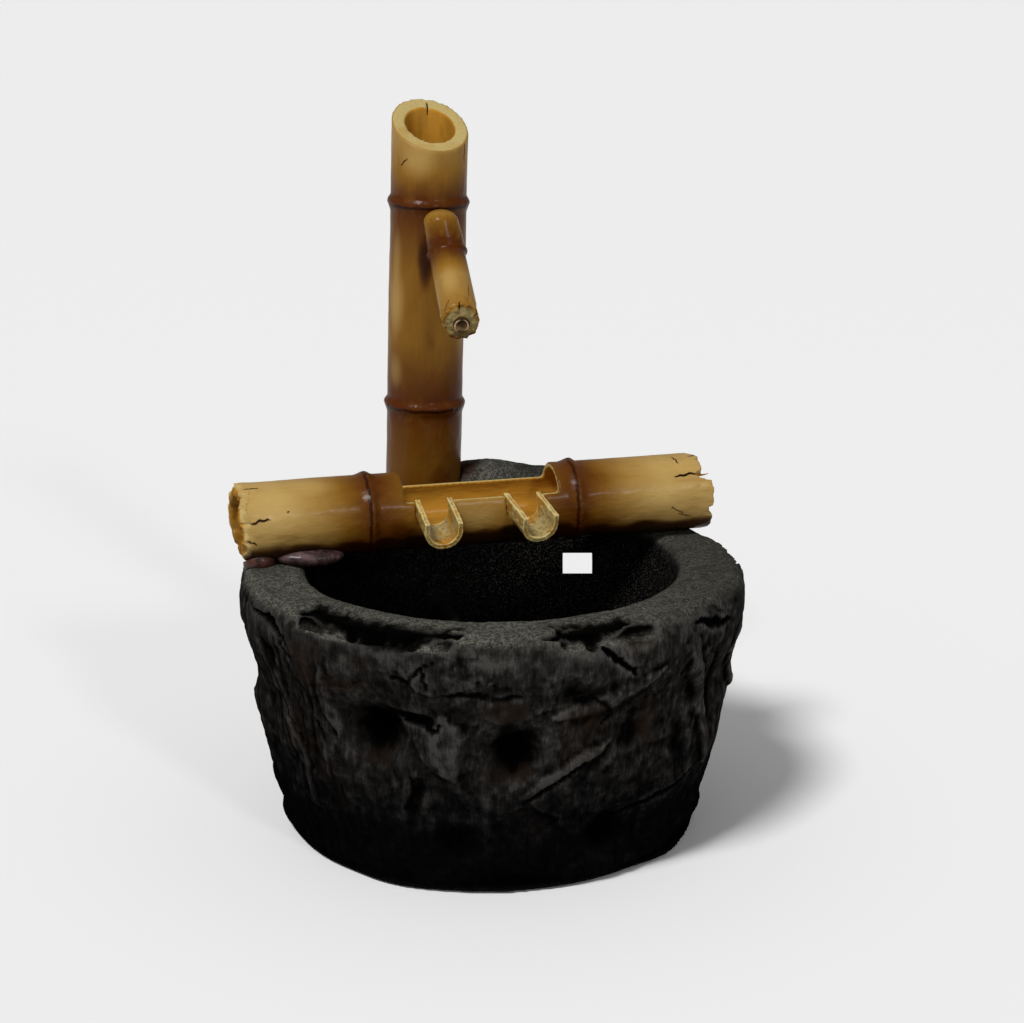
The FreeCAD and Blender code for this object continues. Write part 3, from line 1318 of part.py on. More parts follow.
def flow_dial():
    """Rotary shutter on the cover's boss, with a lever; its windows pass those of the cover."""
    back = size.pump_front + size.cover_flange + size.seat_gap
    seat = COVER_FRONT + size.dial_gap
    front = seat + size.dial_face
    bore = size.boss_radius + size.dial_play
    corners = [(bore, back), (size.dial_radius, back), (size.dial_radius, front, size.dial_face / 2),
               (0.0, front), (0.0, seat), (bore, seat)]
    body = turned("dial_turned", corners, SHAFT_PLACE)
    lever_half = size.dial_lever / 2
    sketch = sketch_on(body, "lever_outline", "XY_Plane", seat)
    outline(sketch, rectangle(bore, size.dial_radius + size.dial_lever, -lever_half, lever_half))
    body.Tip = raise_pad(body, "lever", sketch, size.dial_face)
    return cut("flow_dial", body, windows("dial_windows", seat, front))


def slots(name, count, across, low, high, start, length, turned_sideways):
    """A row of upright slots, cut along the shaft or across it."""
    body = start_body(name, SHAFT_PLACE)
    made = None
    for index in range(count):
        middle = across + size.slot_pitch * (index - (count - 1) / 2)
        left = middle - size.slot_width / 2
        role = "YZ_Plane" if turned_sideways else "XY_Plane"
        sketch = sketch_on(body, "%s_outline_%d" % (name, index + 1), role, start)
        if turned_sideways:
            outline(sketch, rectangle(low, high, left, left + size.slot_width))
        else:
            outline(sketch, rectangle(left, left + size.slot_width, low, high))
        made = raise_pad(body, "%s_%d" % (name, index + 1), sketch, length)
    body.Tip = made
    return body


def strainer_cover():
    start = NOSE_START + size.strainer_play
    front = size.pump_front + size.strainer_length
    outer = padded("strainer_outer", pump_outline(0.0), start, front - start, SHAFT_PLACE)
    inner = padded("strainer_inner", pump_outline(size.strainer_wall), start, front - start - size.strainer_wall,
                   SHAFT_PLACE)
    middle = size.pump_height / 2 - size.shaft_height
    low = middle - size.slot_height / 2
    high = middle + size.slot_height / 2
    face = slots("front_slots", SLOT_COUNT, 0.0, low, high, front - size.strainer_wall * 2,
                 size.strainer_wall * 3, False)
    row = (size.pump_front + front - size.strainer_wall) / 2
    side = slots("side_slots", SIDE_SLOT_COUNT, row, low, high, -size.pump_width, size.pump_width * 2, True)
    return cut("strainer_cover", outer, inner, face, side)


def outlet_adapter():
    """Socket on the outlet pipe, a plate, and a barbed tail for the hose."""
    bore = size.outlet_radius + size.adapter_play
    rest = size.adapter_rest
    plate = size.outlet_height + rest
    tail = plate + size.adapter_plate
    barb = size.hose_bore / 2 - size.barb_play
    neck = barb - size.barb_step
    half = size.barb_height / 2
    corners = [(bore, rest), (size.adapter_radius, rest), (size.adapter_radius, tail), (neck, tail),
               (barb, tail + size.barb_step * 4), (barb, tail + size.barb_step * 5), (neck, tail + half),
               (barb, tail + half + size.barb_step * 2), (barb, tail + half + size.barb_step * 3),
               (neck, tail + size.barb_height), (size.barb_bore, tail + size.barb_height),
               (size.barb_bore, plate), (bore, plate)]
    return turned("outlet_adapter", corners, OUTLET_PLACE)


def suction_cups():
    cups = []
    top = size.cup_height
    neck = size.cup_stem_radius * 1.4
    lip = size.cup_height / 6
    corners = [(0.0, size.cup_height / 3), (size.cup_radius - lip * 2, 0.0), (size.cup_radius, 0.0),
               (size.cup_radius, lip), (neck, top - lip), (neck, top), (size.cup_stem_radius, top),
               (size.cup_stem_radius, top + size.cup_stem_length), (0.0, top + size.cup_stem_length)]
    for index, (along, side) in enumerate(cup_spots()):
        spot = SHAFT_PLACE.multVec(Vector(side, -size.shaft_height - size.cup_height, along))
        cups.append(turned("cup_%d" % (index + 1), corners, Placement(spot, Rotation())))
    return fuse("suction_cups", *cups)


# Build, check and write

rock = stone()
basin = basin_shell(rock)
node("basin_shell", basin)
node("bowl_liner", bowl_liner(rock))
node("cord_duct", cord_duct())
node("base_panel", base_panel())
node("panel_screws", panel_screws())
node("base_ring", base_ring_body("base_ring", 0.0))
node("post_culm", post_culm())
node("branch_spout", branch_spout())
node("water_hose", water_hose())
node("hose_grommet", hose_grommet())
node("trough_culm", trough_culm())
node("trough_lip_left", trough_lip("left"))
node("trough_lip_right", trough_lip("right"))
OVAL_SPOT = (size.oval_pebble_inset, size.oval_pebble_forward, size.oval_pebble_rise)
node("pebble_oval", pebble("pebble_oval", size.oval_pebble_length, size.oval_pebble_width,
                           size.oval_pebble_height, OVAL_SPOT, OVAL_PEBBLE_TURN, basin))
SMALL_SPOT = (size.small_pebble_inset, size.small_pebble_forward, size.small_pebble_rise)
node("pebble_small", pebble("pebble_small", size.small_pebble_length, size.small_pebble_width,
                            size.small_pebble_height, SMALL_SPOT, SMALL_PEBBLE_TURN, basin))
node("pump_housing", fuse("pump_housing", pump_housing(), rear_collar()))
node("motor_seal", motor_seal())
node("stator_core", stator_core())
node("coil_left", coil("coil_left", -1))
node("coil_right", coil("coil_right", 1))
node("cord_gland", cord_gland())
node("rotor_shaft", rotor_shaft())
node("bush_rear", bush_rear())
node("bush_front", bush_front())
node("rotor_magnet", rotor_magnet())
node("impeller", impeller())
node("volute_cover", volute_cover())
node("flow_dial", flow_dial())
node("strainer_cover", strainer_cover())
node("outlet_adapter", outlet_adapter())
node("suction_cups", suction_cups())

doc.recompute()

faults = [item.Name for item in doc.Objects if "Invalid" in item.State or "Error" in item.State]
if faults:
    raise RuntimeError("objects that did not build: " + ", ".join(faults))
for name, item in NODES.items():
    if item.Shape.isNull() or not item.Shape.isValid() or not item.Shape.Solids:
        raise RuntimeError("bad shape: " + name)

os.makedirs("parts", exist_ok=True)
for name, item in NODES.items():
    item.Shape.exportStep("parts/%s.step" % name)
    bounds = item.Shape.BoundBox
    print("%-18s solids %d  volume %9.0f  x %6.1f..%6.1f  y %6.1f..%6.1f  z %6.1f..%6.1f" % (
        name, len(item.Shape.Solids), item.Shape.Volume, bounds.XMin, bounds.XMax, bounds.YMin, bounds.YMax,
        bounds.ZMin, bounds.ZMax))

path = hose_path()
print("hose: length %.1f mm, bends of radius %s mm" % (path.Length, ", ".join("%g" % bend for bend in HOSE_BENDS)))
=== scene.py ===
import json
import math

import bpy
import numpy as np
from mathutils import Matrix, Vector, noise

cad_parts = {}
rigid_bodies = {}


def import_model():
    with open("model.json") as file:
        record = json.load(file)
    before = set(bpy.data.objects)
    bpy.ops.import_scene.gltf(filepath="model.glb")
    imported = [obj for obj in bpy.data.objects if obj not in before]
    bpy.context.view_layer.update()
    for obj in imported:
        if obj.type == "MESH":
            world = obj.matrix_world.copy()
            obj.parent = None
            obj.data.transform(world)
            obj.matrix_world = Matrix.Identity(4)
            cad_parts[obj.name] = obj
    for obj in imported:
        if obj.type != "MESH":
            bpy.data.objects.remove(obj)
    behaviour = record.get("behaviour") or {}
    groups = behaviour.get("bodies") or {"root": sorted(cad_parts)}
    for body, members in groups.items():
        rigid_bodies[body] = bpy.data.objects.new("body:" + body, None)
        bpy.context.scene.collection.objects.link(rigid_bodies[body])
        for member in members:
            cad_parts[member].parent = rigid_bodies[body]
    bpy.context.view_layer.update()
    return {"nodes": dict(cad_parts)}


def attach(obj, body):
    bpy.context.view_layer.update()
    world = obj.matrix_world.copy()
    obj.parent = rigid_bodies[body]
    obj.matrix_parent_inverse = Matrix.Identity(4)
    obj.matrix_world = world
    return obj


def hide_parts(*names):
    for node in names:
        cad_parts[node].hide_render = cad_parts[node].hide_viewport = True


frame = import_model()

bl_info = {
    "name": "Bamboo cascade fountain",
    "version": (1, 0, 0),
    "blender": (4, 5, 0),
    "location": "View3D > Sidebar > Fountain",
    "description": "Dresses a cast bamboo-look fountain with a rock basin",
    "category": "Object",
}

MM = 0.001


# Places that the pieces share, in metres


def culm_frame(origin, along, upward):
    """A frame on a culm's axis: Z along it, Y towards the given side."""
    z_axis = Vector(along).normalized()
    y_axis = (Vector(upward) - z_axis * z_axis.dot(Vector(upward))).normalized()
    x_axis = y_axis.cross(z_axis)
    turn = Matrix((x_axis, y_axis, z_axis)).transposed().to_4x4()
    return Matrix.Translation(Vector(origin)) @ turn


TROUGH_TURN = math.radians(14.5)
POST_LEAN = math.radians(1.65)
TROUGH_FRAME = culm_frame((-0.007, 0.045, 0.2586), (math.cos(TROUGH_TURN), math.sin(TROUGH_TURN), 0),
                          (0, 0, 1))
POST_FRAME = culm_frame((-0.0627, 0.168, 0.236), (math.sin(POST_LEAN), 0, math.cos(POST_LEAN)), (0, 1, 0))
BRANCH_NODE = Vector((-0.0383, 0.122, 0.4585))
BRANCH_END = Vector((-0.0247, 0.046, 0.4123))
BRANCH_FRAME = culm_frame(BRANCH_NODE, BRANCH_END - BRANCH_NODE, (0, 0, 1))
TROUGH_LEFT, TROUGH_RIGHT = -0.212, 0.195
TROUGH_RINGS = (-100.0, 76.0)
POST_RINGS = (84.0, 261.5)
POST_RADIUS, TROUGH_RADIUS, BRANCH_RADIUS = 33.5, 33, 15.0


def colour_setting(name, description, default):
    return bpy.props.FloatVectorProperty(name=name, description=description, subtype="COLOR",
                                         default=default)


def length_setting(name, description, default):
    return bpy.props.FloatProperty(name=name, description=description, default=default, unit="LENGTH")


def share_setting(name, description, default):
    return bpy.props.FloatProperty(
        name=name, description=description, default=default, subtype="FACTOR", min=0, max=1)


class FountainBamboo(bpy.types.PropertyGroup):
    """Cast bamboo: post, branch, trough and lips"""
    voxel: length_setting("Grain of the form", "Size of the smallest facet of the culms", 1.34 * MM)
    unevenness: length_setting("Unevenness", "How far the cast surface swells and sinks", 0.45 * MM)
    ragged: length_setting("Ragged ends", "Depth of the broken ends' teeth", 5.0 * MM)
    pale: colour_setting("Pale", "Straw-coloured paint between the nodes", (0.45, 0.305, 0.104))
    honey: colour_setting("Honey", "Middle tone", (0.215, 0.102, 0.0110))
    # Burnt also colours the culms' painted shade
    burnt: colour_setting("Burnt", "Red-brown stain near the nodes", (0.060, 0.0125, 0.0010))
    cut: colour_setting("Cut faces", "Pale cut and broken faces", (0.42, 0.325, 0.128))
    varnish: share_setting("Varnish", "Weight of the clear varnish", 0.07)


class FountainRock(bpy.types.PropertyGroup):
    """Cast rock basin"""
    voxel: length_setting("Grain of the form", "Size of the smallest facet of the rock", 2.5 * MM)
    relief: share_setting("Relief", "Depth of the carved rock face, as a share", 1.0)
    # Charcoal also colours the rock's painted shade
    charcoal: colour_setting("Charcoal", "Dark wash of the rock", (0.0030, 0.0027, 0.0025))
    slate: colour_setting("Slate", "Grey of the proud places", (0.040, 0.0375, 0.0345))
    moss: colour_setting("Level rock", "Greenish grey of the rim and other level places",
                         (0.082, 0.080, 0.066))
    earth: colour_setting("Earth", "Brown patches", (0.0165, 0.0098, 0.0060))


class FountainStage(bpy.types.PropertyGroup):
    """Floor, light and camera"""
    floor: colour_setting("Floor", "Pale floor", (0.80, 0.80, 0.80))
    lens: bpy.props.FloatProperty(
        name="Lens", description="Focal length on a 36 mm sensor", default=84.375, unit="CAMERA")
    distance: length_setting("Distance", "Camera to the point it looks at", 1.972)
    pitch: bpy.props.FloatProperty(
        name="Tilt", description="Camera's tilt below level", default=math.radians(15.89), unit="ROTATION")
    key: bpy.props.FloatProperty(name="Key light", description="Strength of the light from the left",
                                 default=2.7)
    fill: bpy.props.FloatProperty(
        name="Fill light", description="Strength of the light from the right", default=0.5)


# Helpers for modelling


def deselect():
    if bpy.context.object and bpy.context.object.mode != "OBJECT":
        bpy.ops.object.mode_set(mode="OBJECT")
    bpy.ops.object.select_all(action="DESELECT")


def activate(piece):
    deselect()
    piece.select_set(True)
    bpy.context.view_layer.objects.active = piece


def new_object(name, data):
    made = bpy.data.objects.new(name, data)
    bpy.context.scene.collection.objects.link(made)
    return made


def copy_of(node, name):
    """A merged copy of a CAD node, to be worked on."""
    mesh = frame["nodes"][node].data.copy()
    mesh.materials.clear()
    piece = new_object(name, mesh)
    activate(piece)
    bpy.ops.object.mode_set(mode="EDIT")
    bpy.ops.mesh.select_all(action="SELECT")
    bpy.ops.mesh.remove_doubles(threshold=0.01 * MM)
    bpy.ops.object.mode_set(mode="OBJECT")
    return piece


def modify(piece, kind, **settings):
    activate(piece)
    modifier = piece.modifiers.new(kind.title(), kind)
    for key, value in settings.items():
        setattr(modifier, key, value)
    bpy.ops.object.modifier_apply(modifier=modifier.name)


def remesh(piece, voxel, smoothing=2):
    modify(piece, "REMESH", mode="VOXEL", voxel_size=voxel, use_smooth_shade=True)
    if smoothing:
        modify(piece, "SMOOTH", factor=0.5, iterations=smoothing)
    keep_whole(piece)


def keep_whole(piece):
    """Drop the crumbs that a remesh leaves: what hangs together with the lowest point stays."""
    lowest = int(np.argmin(read_points(piece)[:, 2]))
    activate(piece)
    bpy.ops.object.mode_set(mode="EDIT")
    bpy.ops.mesh.select_mode(type="VERT")
    bpy.ops.mesh.select_all(action="DESELECT")
    bpy.ops.object.mode_set(mode="OBJECT")
    piece.data.vertices[lowest].select = True
    bpy.ops.object.mode_set(mode="EDIT")
    bpy.ops.mesh.select_linked()
    bpy.ops.mesh.select_all(action="INVERT")
    bpy.ops.mesh.delete(type="VERT")
    bpy.ops.object.mode_set(mode="OBJECT")


def read_points(piece):
    flat = np.empty(len(piece.data.vertices) * 3, np.float32)
    piece.data.vertices.foreach_get("co", flat)
    return flat.reshape(-1, 3).astype(np.float64)


def write_points(piece, points):
    piece.data.vertices.foreach_set("co", points.astype(np.float32).ravel())
    piece.data.update()


def local_points(piece, place):
    """The piece's points in a culm's own frame."""
    points = read_points(piece)
    back = np.array(place.inverted())
    return points @ back[:3, :3].T + back[:3, 3]


def to_world(points, place):
    turn = np.array(place)
    return points @ turn[:3, :3].T + turn[:3, 3]


def ease(low, high, values):
    share = np.clip((values - low) / (high - low), 0, 1)
    return share * share * (3 - 2 * share)


def fade(low, high, values):
    return 1 - ease(low, high, values)


def noise_at(points, scale, octaves=3, offset=(0, 0, 0)):
    shift = Vector(offset)
    return np.array([noise.fractal(Vector(p) * scale + shift, 1.0, 2.0, octaves) for p in points])


def dice(values, seed):
    """A fixed chance number from 0 to 1 for each whole step of the values."""
    return np.modf(np.abs(np.sin(np.floor(values) * 12.9898 + seed * 78.233)) * 43758.5453)[0]


def read_normals(piece):
    flat = np.empty(len(piece.data.vertices) * 3, np.float32)
    piece.data.vertices.foreach_get("normal", flat)
    return flat.reshape(-1, 3).astype(np.float64)


def keep(piece, name, values):
    """Keep one value per point for the materials."""
    layer = piece.data.attributes.new(name, "FLOAT", "POINT")
    layer.data.foreach_set("value", np.clip(values, 0, 1).astype(np.float32))


def carve_out(piece, cutters):
    """Cut the joined cutters out of the piece."""
    activate(cutters[0])
    for cutter in cutters:
        cutter.select_set(True)
    bpy.ops.object.transform_apply(location=True, rotation=True, scale=True)
    if len(cutters) > 1:
        bpy.ops.object.join()
    cutter = bpy.context.object
    modify(piece, "BOOLEAN", object=cutter, operation="DIFFERENCE", solver="EXACT")
    bpy.data.objects.remove(cutter)


def settle(piece, slot, material, *nodes):
    """Give a finished piece its material and body, and hide the CAD nodes that it stands for."""
    piece.data.materials.clear()
    piece.data.materials.append(material)
    activate(piece)
    bpy.ops.object.shade_smooth()
    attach(piece, "fountain")
    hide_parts(*nodes)


# Helpers for materials


class Shader:
    """Builds one material's nodes."""

    def __init__(self, name):
        self.material = bpy.data.materials.new(name)
        self.material.use_nodes = True
        self.tree = self.material.node_tree
        self.tree.nodes.clear()
        self.surface = self.add("ShaderNodeBsdfPrincipled")
        out = self.add("ShaderNodeOutputMaterial")
        self.link(self.surface.outputs["BSDF"], out.inputs["Surface"])

    def add(self, kind, **settings):
        made = self.tree.nodes.new(kind)
        for key, value in settings.items():
            setattr(made, key, value)
        return made

    def link(self, source, target):
        self.tree.links.new(source, target)

    def put(self, socket, value):
        if isinstance(value, bpy.types.NodeSocket):
            self.link(value, socket)
        elif hasattr(value, "__len__") and len(value) == 3 and socket.type == "RGBA":
            socket.default_value = (*value, 1)
        else:
            socket.default_value = value

    def object_place(self, place=None):
        """Object coordinates, in a culm's own frame where one is given."""
        spot = self.add("ShaderNodeTexCoord").outputs["Object"]
        if place is None:
            return spot
        back = place.inverted()
        mapping = self.add("ShaderNodeMapping", vector_type="POINT")
        mapping.inputs["Location"].default_value = back.to_translation()
        mapping.inputs["Rotation"].default_value = back.to_euler()
        self.link(spot, mapping.inputs["Vector"])
        return mapping.outputs["Vector"]

    def attribute(self, name):
        return self.add("ShaderNodeAttribute", attribute_name=name).outputs["Fac"]

    def stretch(self, vector, factors):
        made = self.add("ShaderNodeVectorMath", operation="MULTIPLY")
        self.put(made.inputs[0], vector)
        made.inputs[1].default_value = factors
        return made.outputs[0]

    def split(self, vector):
        made = self.add("ShaderNodeSeparateXYZ")
        self.link(vector, made.inputs[0])
        return made.outputs[0], made.outputs[1], made.outputs[2]

    def math(self, operation, first, second=0.0, third=0.0):
        made = self.add("ShaderNodeMath", operation=operation)
        for socket, value in zip(made.inputs, (first, second, third)):
            self.put(socket, value)
        return made.outputs[0]

    def plus(self, first, second):
        return self.math("ADD", first, second)

    def times(self, first, second):
        return self.math("MULTIPLY", first, second)

    def sway(self, part, weight):
        """A noise that swings round nought."""
        return self.times(self.math("SUBTRACT", part, 0.5), weight)

    def reach(self, across, upward):
        """Distance from a culm's axis."""
        return self.math("SQRT", self.plus(self.times(across, across), self.times(upward, upward)))

    def band(self, value, low, high, to_low=0.0, to_high=1.0):
        made = self.add("ShaderNodeMapRange", interpolation_type="SMOOTHSTEP")
        for key, item in (("Value", value), ("From Min", low), ("From Max", high), ("To Min", to_low),
                          ("To Max", to_high)):
            self.put(made.inputs[key], item)
        return made.outputs["Result"]

    def noise(self, vector, scale, detail=3.0, roughness=0.5, distortion=0.0):
        made = self.add("ShaderNodeTexNoise")
        self.link(vector, made.inputs["Vector"])
        made.inputs["Scale"].default_value = scale
        made.inputs["Detail"].default_value = detail
        made.inputs["Roughness"].default_value = roughness
        made.inputs["Distortion"].default_value = distortion
        return made.outputs["Fac"]

    def mix(self, share, first, second, blend="MIX"):
        made = self.add("ShaderNodeMix", data_type="RGBA", blend_type=blend)
        self.put(made.inputs["Factor"], share)
        self.put(made.inputs[6], first)
        self.put(made.inputs[7], second)
        return made.outputs[2]

    def glaze(self, colour, part, low, high, most, over):
        """Lay a colour over another where the part rises from low to high, up to a share."""
        return self.mix(self.band(part, low, high, 0.0, most), colour, over)

    def wash(self, colour, part, most, over):
        """Lay a colour over another by the part's own share."""
        return self.mix(self.times(part, most), colour, over)

    def blend(self, share, first, second):
        """Mix of two plain numbers."""
        made = self.add("ShaderNodeMix", data_type="FLOAT")
        self.put(made.inputs["Factor"], share)
        self.put(made.inputs[2], first)
        self.put(made.inputs[3], second)
        return made.outputs[0]

    def ramp(self, value, stops):
        """Colours at positions from 0 to 1."""
        made = self.add("ShaderNodeValToRGB")
        self.put(made.inputs[0], value)
        elements = made.color_ramp.elements
        while len(elements) < len(stops):
            elements.new(0.5)
        for element, (position, colour) in zip(elements, stops):
            element.position = position
            element.color = (*colour, 1)
        return made.outputs[0]

    def bump(self, height, distance, strength=1.0, normal=None):
        made = self.add("ShaderNodeBump")
        made.inputs["Strength"].default_value = strength
        made.inputs["Distance"].default_value = distance
        self.link(height, made.inputs["Height"])
        if normal is not None:
            self.link(normal, made.inputs["Normal"])
        return made.outputs[0]

    def finish(self, colour, roughness, normal=None, **constants):
        self.put(self.surface.inputs["Base Color"], colour)
        self.put(self.surface.inputs["Roughness"], roughness)
        if normal is not None:
            self.link(normal, self.surface.inputs["Normal"])
        for key, value in constants.items():
            self.surface.inputs[key.replace("_", " ")].default_value = value
        return self.material


def tint(colour, factor):
    return tuple(min(1.0, channel * factor) for channel in colour)


# Culms: places along are in mm from the frame's origin, degrees go round from the frame's Y


def culm_places(piece, place):
    """A piece's points in a culm's frame, with places along, reach from the axis and degrees round it."""
    local = local_points(piece, place)
    x, y, along = local.T
    return local, along / MM, np.hypot(x, y) / MM, np.degrees(np.arctan2(-x, y))


def turn_between(around, middle):
    return np.mod(around - middle + 180, 360) - 180


def culm_weight(along, around, radius, spots):
    """Soft spots on a culm: place along, degrees round, half length, half width, weight; sizes in mm."""
    total = np.zeros(len(along))
    for middle, turn, half_length, half_width, weight in spots:
        side = np.radians(turn_between(around, turn)) * radius
        total += weight * fade(0.1, 1.0, np.hypot((along - middle) / half_length, side / half_width))
    return total


def slit_place(place, slit):
    """Where a slit's ellipsoid lies: X along it, Y across it and Z out of the culm."""
    along, turn, reach, half_length, half_width, half_depth, tilt = slit
    angle, lean = math.radians(turn), math.radians(tilt)
    out = Vector((-math.sin(angle), math.cos(angle), 0))
    around = Vector((-math.cos(angle), -math.sin(angle), 0))
    axis = Vector((0, 0, math.cos(lean))) + around * math.sin(lean)
    base = Matrix((axis, out.cross(axis), out)).transposed().to_4x4()
    base.translation = out * reach * MM + Vector((0, 0, along * MM))
    return place @ base @ Matrix.Diagonal((half_length * MM, half_width * MM, half_depth * MM, 1))


def slit_bend(along, seed):
    """How far a slit strays to the side, in its own half widths."""
    return 0.9 * np.sin(2.4 * along + seed) + 0.55 * np.sin(7.3 * along + 2.1 * seed)


def cut_slits(piece, place, slits):
    """Cut crooked slits into a culm and keep where they are."""
    cutters = []
    for slit in slits:
        deselect()
        bpy.ops.mesh.primitive_uv_sphere_add(segments=20, ring_count=28, radius=1,
                                             rotation=(0, math.pi / 2, 0))
        bpy.ops.object.transform_apply(location=True, rotation=True, scale=True)
        cutter = bpy.context.object
        points = read_points(cutter)
        points[:, 1] += slit_bend(points[:, 0], slit[0])
        write_points(cutter, points)
        cutter.matrix_world = slit_place(place, slit)
        cutters.append(cutter)
    carve_out(piece, cutters)
    points = read_points(piece)
    inside = np.zeros(len(points))
    for slit in slits:
        back = np.array(slit_place(place, slit).inverted())
        unit = points @ back[:3, :3].T + back[:3, 3]
        unit[:, 1] -= slit_bend(np.clip(unit[:, 0], -1, 1), slit[0])
        inside = np.maximum(inside, fade(1.02, 1.25, np.linalg.norm(unit, axis=1)))
    keep(piece, "slit", inside)


def break_end(along, reach, around, radius, end, inward, seed, depth):
    """How far the broken end's teeth stand back at each point, in mm, counted along the culm."""
    arc = around / 360 * 2 * math.pi * radius
    wall = np.floor((reach - radius + 4) / 4)
    teeth = 0.50 * dice(arc / 11 + 0.4 * wall, seed) + 0.30 * dice(arc / 4.6 + 0.7 * wall, seed + 3)
    teeth += 0.20 * dice(arc / 2.1, seed + 7 + wall)
    near = fade(2, 15, np.abs(along - end))
    return inward * near * teeth * depth


def bamboo_material(name, place, span, tones, radius, rings=(), bore=None, seed=0.0, fresh=1.0):
    """Painted cast bamboo.

    tones: (place along, paleness from 0 to 2); rings: the nodes' places along, all in mm. The piece's
    own attributes tell where it is darker, by stain and painted shade, lighter, by painted highlight, or
    split; fresh is how pale its cuts are.
    """
    look = bpy.context.scene.fountain_bamboo
    shade = Shader(name)
    spot = shade.object_place(place)
    across, upward, along = shade.split(spot)
    shifted = shade.add("ShaderNodeVectorMath", operation="ADD")
    shade.link(spot, shifted.inputs[0])
    shifted.inputs[1].default_value = (seed, seed * 2.3, seed * 1.7)
    spot = shifted.outputs[0]
    reach = shade.reach(across, upward)
    fibres = shade.noise(shade.stretch(spot, (1, 1, 0.06)), 480, 3, 0.6)
    streaks = shade.noise(shade.stretch(spot, (1, 1, 0.16)), 120, 4, 0.6)
    cloud = shade.noise(shade.stretch(spot, (1, 1, 0.6)), 42, 4, 0.6)
    fine = shade.noise(spot, 900, 3, 0.6)
    stain_and_shade, painted_highlight, slit = (shade.attribute(kind) for kind in ("stain_and_shade", "painted_highlight", "slit"))

    # Paint along the culm: pale in the middle, burnt at the nodes
    low, high = span[0] * MM, span[1] * MM
    drift = shade.sway(cloud, 0.022)
    drift = shade.plus(drift, shade.sway(streaks, 0.010))
    share = shade.math("DIVIDE", shade.math("SUBTRACT", shade.plus(along, drift), low), high - low)
    stops = []
    for middle, tone in tones:
        first, second = (look.burnt, look.honey) if tone < 1 else (look.honey, look.pale)
        part = tone if tone < 1 else tone - 1
        stops.append(((middle * MM - low) / (high - low),
                      tuple(a + (b - a) * part for a, b in zip(first, second))))
    skin_colour = shade.ramp(share, stops)
    skin_colour = shade.glaze(skin_colour, cloud, 0.50, 0.72, 0.35, tint(look.honey, 0.7))
    skin_colour = shade.glaze(skin_colour, streaks, 0.54, 0.76, 0.22, tint(look.burnt, 2.2))
    skin_colour = shade.glaze(skin_colour, fibres, 0.56, 0.76, 0.16, tint(look.burnt, 2.6))
    skin_colour = shade.glaze(skin_colour, fine, 0.60, 0.72, 0.25, tint(look.burnt, 2.6))
    # Painted highlight: paler where the light falls on the culm
    skin_colour = shade.wash(skin_colour, painted_highlight, 0.8, look.pale)
    # Darker where the piece has stain, and painted shade on undersides, in creases and on the side away from
    # the light
    darker = shade.plus(stain_and_shade, shade.sway(cloud, 0.5))
    darker = shade.times(shade.band(darker, 0.10, 0.95), shade.band(stain_and_shade, 0.0, 0.12))
    skin_colour = shade.wash(skin_colour, shade.band(darker, 0.0, 0.6), 0.75, look.burnt)
    skin_colour = shade.wash(skin_colour, shade.band(darker, 0.45, 1.0), 0.8, tint(look.burnt, 0.2))
    for ring in rings:
        near = shade.plus(shade.math("SUBTRACT", along, (ring - 2.6) * MM), shade.sway(streaks, 0.004))
        near = shade.math("ABSOLUTE", near)
        skin_colour = shade.glaze(skin_colour, near, 0.0020, 0.0006, 0.85, tint(look.burnt, 0.25))

    # Cut and broken faces, and the bore
    straw = shade.glaze(tint(look.cut, fresh), fine, 0.50, 0.68, 0.40, tint(look.honey, 1.1 * fresh))
    straw = shade.glaze(straw, cloud, 0.45, 0.68, 0.45, tint(look.honey, 1.6 * fresh))
    edge = shade.plus(reach, shade.sway(fine, 0.0010))
    skin = shade.band(edge, (radius - 2.4) * MM, (radius - 1.4) * MM)
    if bore:
        hollow = shade.band(shade.math("SUBTRACT", reach, bore * MM), 0.0014, 0.0002)
        inner = shade.glaze(tint(look.honey, 2.0), streaks, 0.42, 0.7, 0.5, tint(look.honey, 0.95))
        straw = shade.mix(hollow, straw, inner)
    straw = shade.wash(straw, shade.band(darker, 0.1, 0.9), 0.85, tint(look.burnt, 0.5))
    colour = shade.mix(skin, straw, skin_colour)
    colour = shade.wash(colour, slit, 0.90, tint(look.burnt, 0.45))

    waves = shade.noise(shade.stretch(spot, (1, 1, 0.5)), 110, 3, 0.55)
    height = shade.plus(shade.times(fibres, 0.4), shade.times(fine, 0.25))
    normal = shade.bump(height, 0.25 * MM, 0.6)
    normal = shade.bump(waves, 1.6 * MM, 0.6, normal)
    roughness = shade.blend(skin, 0.6, shade.band(cloud, 0.3, 0.7, 0.28, 0.42))
    return shade.finish(colour, roughness, normal, Specular_IOR_Level=0.05, Coat_Weight=look.varnish,
                        Coat_Roughness=0.17)


# Rock basin


# Places on the wall are (degrees to the right of the front, height in mm); sizes are in mm
WALL_RADIUS = 190.0
